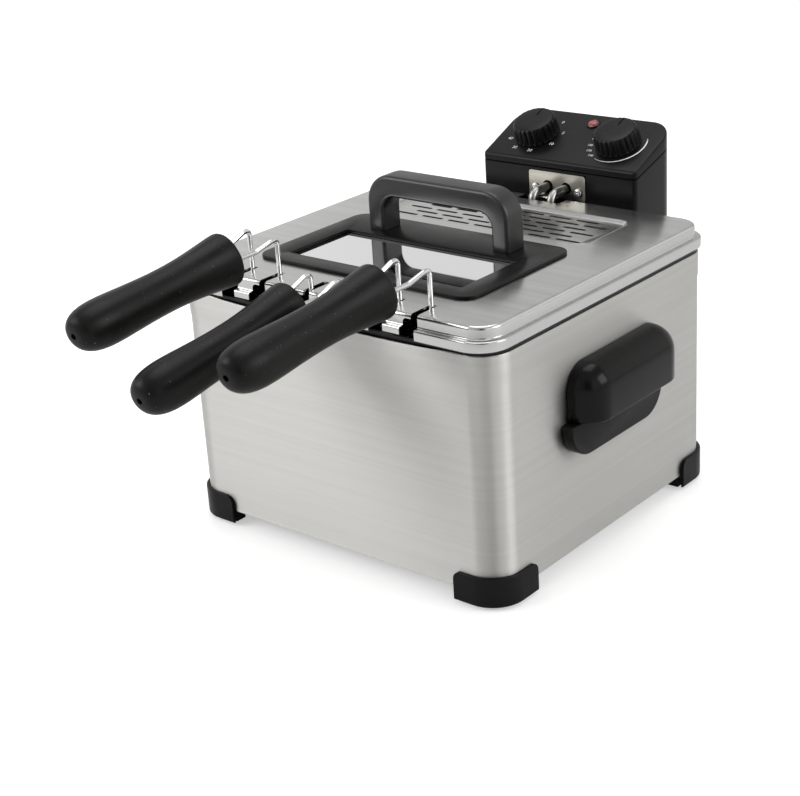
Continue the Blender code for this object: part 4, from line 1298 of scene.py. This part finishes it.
# ---------------------------------------------------------------- control unit
@dataclass(kw_only=True)
class ControlUnit(Assembly):
    """The hang-on control box with its knobs, lamp, element and bracket."""

    repeat: Tree
    body: str = "control_unit"
    tilt: float = math.radians(22.8)
    seam_tilt: float = math.radians(16.8)
    panel_z: float = 0.2129
    seam_z: float = 0.2072
    corners: tuple[float, float] = (0.0032, 0.019)
    foot_round: float = 0.0014
    cover_round: float = 0.0018
    knob_x: float = 0.0362
    knob_y: float = 0.1660
    knob_radius: float = 0.0173
    knob_height: float = 0.0135
    knob_sides: int = 264
    flutes: int = 22
    flute_depth: float = 0.0011
    lamp: tuple[float, float] = (0.0030, 0.1835)
    lamp_sides: int = 48
    text_size: float = 0.0042
    timer_marks: tuple[tuple[str, float], ...] = (
        ("0", 38), ("5", 78), ("10", 118), ("20", 165), ("30", 205), ("40", 243), ("50", 283), ("60", 322))
    heat_marks: tuple[tuple[str, float], ...] = (
        ("100", 300), ("130", 276), ("150", 256), ("170", 238), ("190", 220))
    heat_arc: tuple[float, float, float] = (205.0, 62.0, 0.0218)
    arc_steps: int = 48
    rod_radius: float = 0.0032
    rod_bend: float = 0.0062
    rod_half_gap: float = 0.0082
    rod_drop_y: float = 0.1180
    loop_y: float = 0.0850
    loop_in: float = 0.030

    def __post_init__(self) -> None:
        """Reads the box of the lower housing."""
        self.low, self.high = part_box("control_housing")

    def panel_height(self, y: float) -> float:
        """Height of the sloping panel at a world Y."""
        return self.panel_z + (y - self.low.y) * math.tan(self.tilt)

    def seam_height(self, y: float) -> float:
        """Height of the seam between the lower housing and the panel."""
        return self.seam_z + (y - self.low.y) * math.tan(self.seam_tilt)

    def on_panel(self, x: float, y: float, lift: float = 0.0) -> Matrix:
        """A frame on the panel: X to the right, Y up the slope, Z out of it."""
        world_y = y + MID_Y
        place = Matrix.Translation(Vector((x, world_y, self.panel_height(world_y))))
        return place @ Matrix.Rotation(self.tilt, 4, "X") @ Matrix.Translation((0.0, 0.0, lift))

    def build(self) -> None:
        """Builds every piece of the control unit."""
        self.build_box()
        self.build_cover()
        self.build_bracket()
        self.build_knob("timer_knob", -1)
        self.build_knob("thermostat_knob", 1)
        self.build_lamp()
        self.build_print()
        self.build_element()
        self.keep("panel_black", "power_inlet")
        self.keep("contact_brass", "inlet_pin_1", "inlet_pin_2")
        self.keep("base_black", "thermal_cutout")
        self.keep("mechanism_metal", "timer_mechanism", "thermostat_body")
        self.keep("bright_wire", "probe_capillary", "probe_bulb")
        self.keep("reset_red", "reset_button")
        self.keep("bracket_steel", "bracket_plate")

    def plan(self) -> Plan:
        """The unit seen from above, with sharper corners towards the pot."""
        return Plan((self.low.x, self.low.y), (self.high.x, self.high.y), *self.corners, 14)

    def build_box(self) -> None:
        """The lower housing, pocketed for the bracket plate, the inlet, the button and the tubes."""
        plan, seam, soft = self.plan(), self.seam_height, self.foot_round
        front, rear = self.low.y, self.high.y
        rings = [plan.ring(inset, z) for inset, z in arc(soft, self.low.z + soft, soft, 270, 180, 4)]
        rings += [plan.ring(0.0, lambda y: seam(y) - 0.0005), plan.ring(0.0005, lambda y: seam(y) - 0.0001)]
        box = loft("control_box", rings)
        plate_low, plate_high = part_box("bracket_plate")
        inlet_low, inlet_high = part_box("power_inlet")
        middle = sum(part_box("reset_button"), Vector()) / 2
        backwards = Matrix.Rotation(math.radians(-90), 4, "X")
        shaft = Matrix.Translation((middle.x, rear - 0.012, middle.z)) @ backwards
        combine(box, [
            block("plate_pocket", (plate_low.x - GAP, front - 0.01, plate_low.z - GAP),
                  (plate_high.x + GAP, front + 0.0012, plate_high.z + GAP), 0.0006, Axis.Y, 3),
            block("inlet_hole", (inlet_low.x - 0.0004, rear - 0.016, inlet_low.z - 0.0004),
                  (inlet_high.x + 0.0004, rear + 0.01, inlet_high.z + 0.0004), 0.004, Axis.Y, 6),
            turned("button_hole", [(0.0044, 0.0), (0.0044, 0.03)], shaft, 32),
            block("tube_hole", at(-0.0185, 0.13, plate_low.z + 0.001), at(0.0185, 0.153, plate_high.z - 0.004)),
        ])
        self.add(box, "panel_black", "panel_black", "control_housing")

    def build_cover(self) -> None:
        """The sloping panel, with a fine seam under it and holes for the shafts and the lamp."""
        plan, seam, panel, soft = self.plan(), self.seam_height, self.panel_height, self.cover_round
        rings = [plan.ring(0.0007, lambda y: seam(y) + 0.0003), plan.ring(0.0, lambda y: seam(y) + 0.0010)]
        for inset, drop in arc(soft, -soft, soft, 180, 90):
            rings.append(plan.ring(inset, lambda y, d=drop: panel(y) + d))
        cover = loft("control_cover", rings)
        spots = (("timer_hole", 0.0034, -self.knob_x, self.knob_y),
                 ("thermostat_hole", 0.0034, self.knob_x, self.knob_y), ("lamp_hole", 0.0046, *self.lamp))
        combine(cover, [turned(name, [(radius, -0.02), (radius, 0.01)], self.on_panel(x, y), 32)
                        for name, radius, x, y in spots])
        self.add(cover, "panel_black", "panel_black", "control_panel")

    def build_bracket(self) -> None:
        """The two pan-head screws of the bracket plate and the tongue under the tubes."""
        low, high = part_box("bracket_screw_1")
        radius, slot = (high.z - low.z) / 2, 0.0004
        neck, cross = radius * 0.4, radius * 0.55
        profile = [(neck, -0.005), (neck, -0.0017), (radius, -0.0016), (radius, -0.0010),
                   (radius * 0.86, -slot), (cross, 0.0)]
        head = turned("screw_head", profile, Matrix.Rotation(math.radians(90), 4, "X"), 36)
        combine(head, [block("cross_x", (-cross, -0.01, -slot), (cross, 0.0008, slot)),
                       block("cross_z", (-slot, -0.01, -cross), (slot, 0.0008, cross))])
        nodes = ("bracket_screw_1", "bracket_screw_2")
        middles = [sum(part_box(node), Vector()) / 2 for node in nodes]
        points = bpy.data.meshes.new("screw_points")
        points.from_pydata([(middle.x, low.y, middle.z) for middle in middles], [], [])
        finish = self.finishes.made["bright_wire"]
        screws = self.repeat.grow("bracket_screws", points, piece=head, finish=finish)
        bpy.data.objects.remove(head, do_unlink=True)
        self.add(screws, "bright_wire", "lid_steel", *nodes)
        tongue = soften(block("bright_tongue", *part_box("tube_tongue"), 0.003, Axis.Z, 6), 0.0003)
        self.add(tongue, "bright_wire", "bright_wire", "tube_tongue")

    def build_knob(self, node: str, side: int) -> None:
        """A knob with a domed cap, a fluted skirt and a pointer groove."""
        radius, height = self.knob_radius, self.knob_height
        levels = [
            (0.0030, -0.0090, 0.0), (0.0030, 0.0004, 0.0), (radius - 0.0006, 0.0004, 0.0), (radius, 0.0008, 0.2),
            (radius - 0.0001, 0.0014, 0.9), (radius - 0.0005, 0.0060, 1.0), (radius - 0.0009, 0.0100, 1.0),
            (radius - 0.0011, height - 0.0022, 0.9), (radius - 0.0015, height - 0.0011, 0.7),
            (radius - 0.0024, height - 0.0004, 0.35), (radius - 0.0042, height - 0.0001, 0.0),
            (radius * 0.45, height, 0.0), (0.0004, height - 0.0001, 0.0),
        ]
        place = self.on_panel(side * self.knob_x, self.knob_y)
        rings = []
        for wide, z, depth in levels:
            ring = []
            for step in range(self.knob_sides):
                turn = 2 * math.pi * step / self.knob_sides
                rib = abs(math.sin(turn * self.flutes / 2)) ** 0.7
                reach = wide - depth * self.flute_depth * (1 - rib)
                ring.append(place @ Vector((reach * math.cos(turn), reach * math.sin(turn), z)))
            rings.append(ring)
        knob = loft(node + "_cap", rings)
        groove = block("groove", (-0.0005, 0.005, height - 0.0008), (0.0005, 0.03, height + 0.01), 0.0002)
        groove.data.transform(place)
        combine(knob, [groove])
        self.add(knob, "knob_black", "black_moulding", node, body=node + "_body", smooth_angle=28)

    def build_lamp(self) -> None:
        """The lamp's domed lens in a thin bezel."""
        place, sides = self.on_panel(*self.lamp), self.lamp_sides
        dome = [(0.0040, -0.0060), (0.0040, 0.0004), (0.0042, 0.0008), (0.0034, 0.0017), (0.0018, 0.0021),
                (0.0003, 0.0022)]
        lens = turned("lamp_lens", dome, place, sides)
        self.add(lens, "lamp_red", "lamp_red", "power_lamp", smooth_angle=50)
        rim = [(0.0044, 0.0002), (0.0054, 0.0002), (0.0053, 0.0007), (0.0048, 0.0010), (0.0044, 0.0009)]
        bezel = turned("lamp_bezel", rim, place, sides, Ends.LOOP)
        self.add(bezel, "gloss_black", "black_moulding", smooth_angle=60)

    def numeral(self, text: str, side: int, degrees: float, radius: float, size: float) -> bpy.types.Object:
        """A printed numeral lying on the panel at a clock angle round a knob.

        Args:
            text: what is printed.
            side: -1 for the timer, 1 for the thermostat.
            degrees: the clock angle.
            radius: distance from the knob's centre.
            size: height of the type.

        Returns:
            The numeral's mesh.
        """
        curve = bpy.data.curves.new("numeral", "FONT")
        curve.body, curve.size, curve.extrude = text, size, 0.00004
        curve.align_x, curve.align_y = "CENTER", "CENTER"
        curve.resolution_u = 3
        flat = bake(new_object("numeral", curve))
        turn = math.radians(degrees)
        x = side * self.knob_x + radius * math.sin(turn)
        y = self.knob_y + radius * math.cos(turn) * math.cos(self.tilt)
        flat.data.transform(self.on_panel(x, y, 0.00006))
        return flat

    def build_print(self) -> None:
        """The dials' white numerals and the thermostat's tapered arc."""
        dials = ((-1, 0.0212, self.text_size, self.timer_marks),
                 (1, 0.0222, self.text_size * 0.74, self.heat_marks))
        pieces = [self.numeral(text, side, degrees, radius, size)
                  for side, radius, size, marks in dials for text, degrees in marks]
        self.add(merge("dial_numerals", pieces), "print_white", "panel_black", smooth_angle=30)
        place = self.on_panel(self.knob_x, self.knob_y)
        start, end, middle = self.heat_arc
        rings = []
        for step in range(self.arc_steps + 1):
            share = step / self.arc_steps
            turn = math.radians(start + (end - start) * share)
            taper = 1.0 if share < 0.9 else 10 * (1 - share) + 0.1
            half = (0.00012 + 0.0010 * math.sin(math.pi * min(share * 1.25, 1.0) / 2) * taper) / 2
            section = ((-half, 0.00003), (half, 0.00003), (half, 0.00010), (-half, 0.00010))
            points = [((middle + reach) * math.sin(turn), (middle + reach) * math.cos(turn), z)
                      for reach, z in section]
            rings.append([place @ Vector(point) for point in points])
        self.add(loft("heat_arc", rings), "print_white", "panel_black")

    def build_element(self) -> None:
        """The sheathed rod from the unit, down into the pot and round its floor."""
        low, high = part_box("heating_element")
        radius, x, drop = self.rod_radius, self.rod_half_gap, self.rod_drop_y
        loop, turn_in = self.loop_y, self.loop_in
        top, floor, wide = high.z - radius, low.z + radius, high.x - radius
        half = [(x, high.y - MID_Y, top), (x, drop, top), (x, drop, floor), (x, loop, floor),
                (wide, loop, floor), (wide, -loop, floor), (turn_in, -loop, floor), (turn_in, 0.045, floor)]
        path = [at(-a, b, c) for a, b, c in half] + [at(a, b, c) for a, b, c in half[::-1]]
        heater = rod("heating_rod", fillet(path, self.rod_bend), radius, 6)
        self.add(heater, "element_steel", "element_steel", "heating_element")


# ---------------------------------------------------------------- studio
@dataclass(frozen=True)
class Studio:
    """The floor, the soft light round the fryer and the camera.

    The walls are pairs of a compass angle in degrees and a brightness. The panels are area lights, each with
    its name, place, size and power.
    """

    eye: tuple[float, float, float] = (0.7061, -0.8703, 0.5398)
    aim: tuple[float, float, float] = (-0.0501, 0.0002, 0.0676)
    roll: float = -0.0653
    lens: float = 76.65
    sensor: float = 36.0
    shift: tuple[float, float] = (0.0034, -0.0072)
    floor_size: float = 30.0
    floor_tone: float = 0.74
    floor_glow: float = 0.45
    walls: tuple[tuple[float, float], ...] = (
        (-180, 0.95), (-150, 0.85), (-118, 0.75), (-88, 0.70), (-66, 0.45), (-54, 0.00), (-42, 0.02), (-26, 1.25),
        (-8, 0.95), (30, 0.85), (65, 1.00), (100, 0.55), (128, 0.70), (150, 1.00), (180, 0.95))
    wall_warmth: float = 0.985
    ceiling: float = 0.55
    ceiling_from: tuple[float, float] = (0.45, 0.75)
    panels: tuple[tuple[str, tuple[float, float, float], float, float], ...] = (
        ("key", (-1.5, -1.6, 1.5), 1.4, 26.0), ("fill", (1.9, 0.6, 1.1), 1.1, 14.0),
        ("top", (-0.2, 0.5, 2.3), 1.6, 20.0))
    panel_aim: float = 0.1

    def build(self) -> None:
        """Sets up floor, world, lights and camera."""
        self.floor()
        self.world()
        self.lights()
        self.camera()
        bpy.context.scene.view_settings.view_transform = "Standard"

    def floor(self) -> None:
        """A wide pale floor."""
        bm = bmesh.new()
        bmesh.ops.create_grid(bm, x_segments=1, y_segments=1, size=self.floor_size)
        mesh = bpy.data.meshes.new("studio_floor")
        bm.to_mesh(mesh)
        bm.free()
        floor = new_object("studio_floor", mesh)
        surface = Surface("studio_floor", [self.floor_tone] * 3, 0.6)
        seen = surface.add("ShaderNodeLightPath").outputs["Is Camera Ray"]
        surface.vary("Emission Strength", seen, 0.0, self.floor_glow, 0.0, 1.0)
        surface.shader.inputs["Emission Color"].default_value = (1.0, 1.0, 1.0, 1.0)
        mesh.materials.append(surface.material)

    def world(self) -> None:
        """A studio whose walls are bright on the left and on the right, with a dark strip at the front right.

        The room's brightness follows the compass direction near the horizon and opens into a pale ceiling.
        """
        world = bpy.data.worlds.new("studio")
        bpy.context.scene.world = world
        world.use_nodes = True
        tree = world.node_tree
        tree.nodes.clear()
        direction = tree.nodes.new("ShaderNodeTexCoord")
        parts = tree.nodes.new("ShaderNodeSeparateXYZ")
        tree.links.new(direction.outputs["Generated"], parts.inputs[0])
        compass = tree.nodes.new("ShaderNodeMath")
        compass.operation = "ARCTAN2"
        tree.links.new(parts.outputs[1], compass.inputs[0])
        tree.links.new(parts.outputs[0], compass.inputs[1])
        walls = tree.nodes.new("ShaderNodeValToRGB")
        tree.links.new(remap(tree, compass.outputs[0], -math.pi, math.pi, 0.0, 1.0), walls.inputs[0])
        walls.color_ramp.interpolation = "EASE"
        elements = walls.color_ramp.elements
        elements[0].position, elements[1].position = 0.0, 1.0
        elements[0].color = elements[1].color = (*[self.walls[0][1]] * 3, 1.0)
        for degrees, level in self.walls[1:-1]:
            elements.new((degrees + 180) / 360).color = (level, level, level * self.wall_warmth, 1.0)
        height = remap(tree, parts.outputs[2], *self.ceiling_from, 0.0, 1.0)
        room = blend(tree, height, walls.outputs[0], (*[self.ceiling] * 3, 1.0))
        lit, seen = tree.nodes.new("ShaderNodeBackground"), tree.nodes.new("ShaderNodeBackground")
        tree.links.new(room, lit.inputs["Color"])
        seen.inputs["Color"].default_value = (1.0, 1.0, 1.0, 1.0)
        mix = tree.nodes.new("ShaderNodeMixShader")
        is_camera = tree.nodes.new("ShaderNodeLightPath").outputs["Is Camera Ray"]
        for socket, source in zip(mix.inputs, (is_camera, lit.outputs[0], seen.outputs[0])):
            tree.links.new(source, socket)
        tree.links.new(mix.outputs[0], tree.nodes.new("ShaderNodeOutputWorld").inputs[0])

    def lights(self) -> None:
        """Large soft panels: a key from the front left, a fill from the right and one overhead."""
        for name, place, size, power in self.panels:
            light = bpy.data.lights.new(name, "AREA")
            light.shape, light.size, light.energy = "SQUARE", size, power
            obj = new_object(name, light)
            obj.location = place
            obj.rotation_mode = "QUATERNION"
            obj.rotation_quaternion = (Vector(place) - Vector((0, 0, self.panel_aim))).to_track_quat("Z", "Y")
            obj.visible_camera = False

    def camera(self) -> None:
        """The camera, looking down on the front right corner."""
        data = bpy.data.cameras.new("camera")
        data.lens, data.sensor_width = self.lens, self.sensor
        data.shift_x, data.shift_y = self.shift
        eye, aim = at(*self.eye), at(*self.aim)
        forward = (aim - eye).normalized()
        right = forward.cross(Vector((0, 0, 1))).normalized()
        up = right.cross(forward)
        turned_right = right * math.cos(self.roll) + up * math.sin(self.roll)
        turned_up = up * math.cos(self.roll) - right * math.sin(self.roll)
        basis = Matrix((turned_right, turned_up, -forward)).transposed()
        camera = new_object("camera", data)
        camera.matrix_world = Matrix.Translation(eye) @ basis.to_4x4()
        bpy.context.scene.camera = camera


def baskets(finishes: Finishes) -> list[Basket]:
    """The two small baskets, whose grips hang alike, and the large one with its lower grip."""
    lattice = lattice_tree()
    small = [Basket(finishes=finishes, body=side + "_basket", size=side, lattice=lattice, drop_y=-0.1085,
                    hump=0.2155, grip=(-0.1415, 0.2090), droop=math.radians(4.9), corner=0.016, sag=0.0025)
             for side in ("left", "right")]
    large = Basket(finishes=finishes, body="large_basket", size="large", lattice=lattice, drop_y=-0.1205,
                   hump=0.1990, grip=(-0.1515, 0.1900), droop=math.radians(7.2), corner=0.022)
    return [*small, large]


def main() -> None:
    """Builds the studio and every sub-assembly in order."""
    logging.basicConfig(level=logging.INFO, format="%(name)s %(message)s")
    Studio().build()
    finishes = Finishes()
    assemblies: list[Assembly] = [
        Housing(finishes=finishes),
        Pot(finishes=finishes),
        Lid(finishes=finishes, slots=slot_field_tree()),
        *baskets(finishes),
        ControlUnit(finishes=finishes, repeat=repeat_tree()),
    ]
    for assembly in assemblies:
        LOG.info("building %s", type(assembly).__name__)
        assembly.build()


if __name__ == "__main__":
    main()
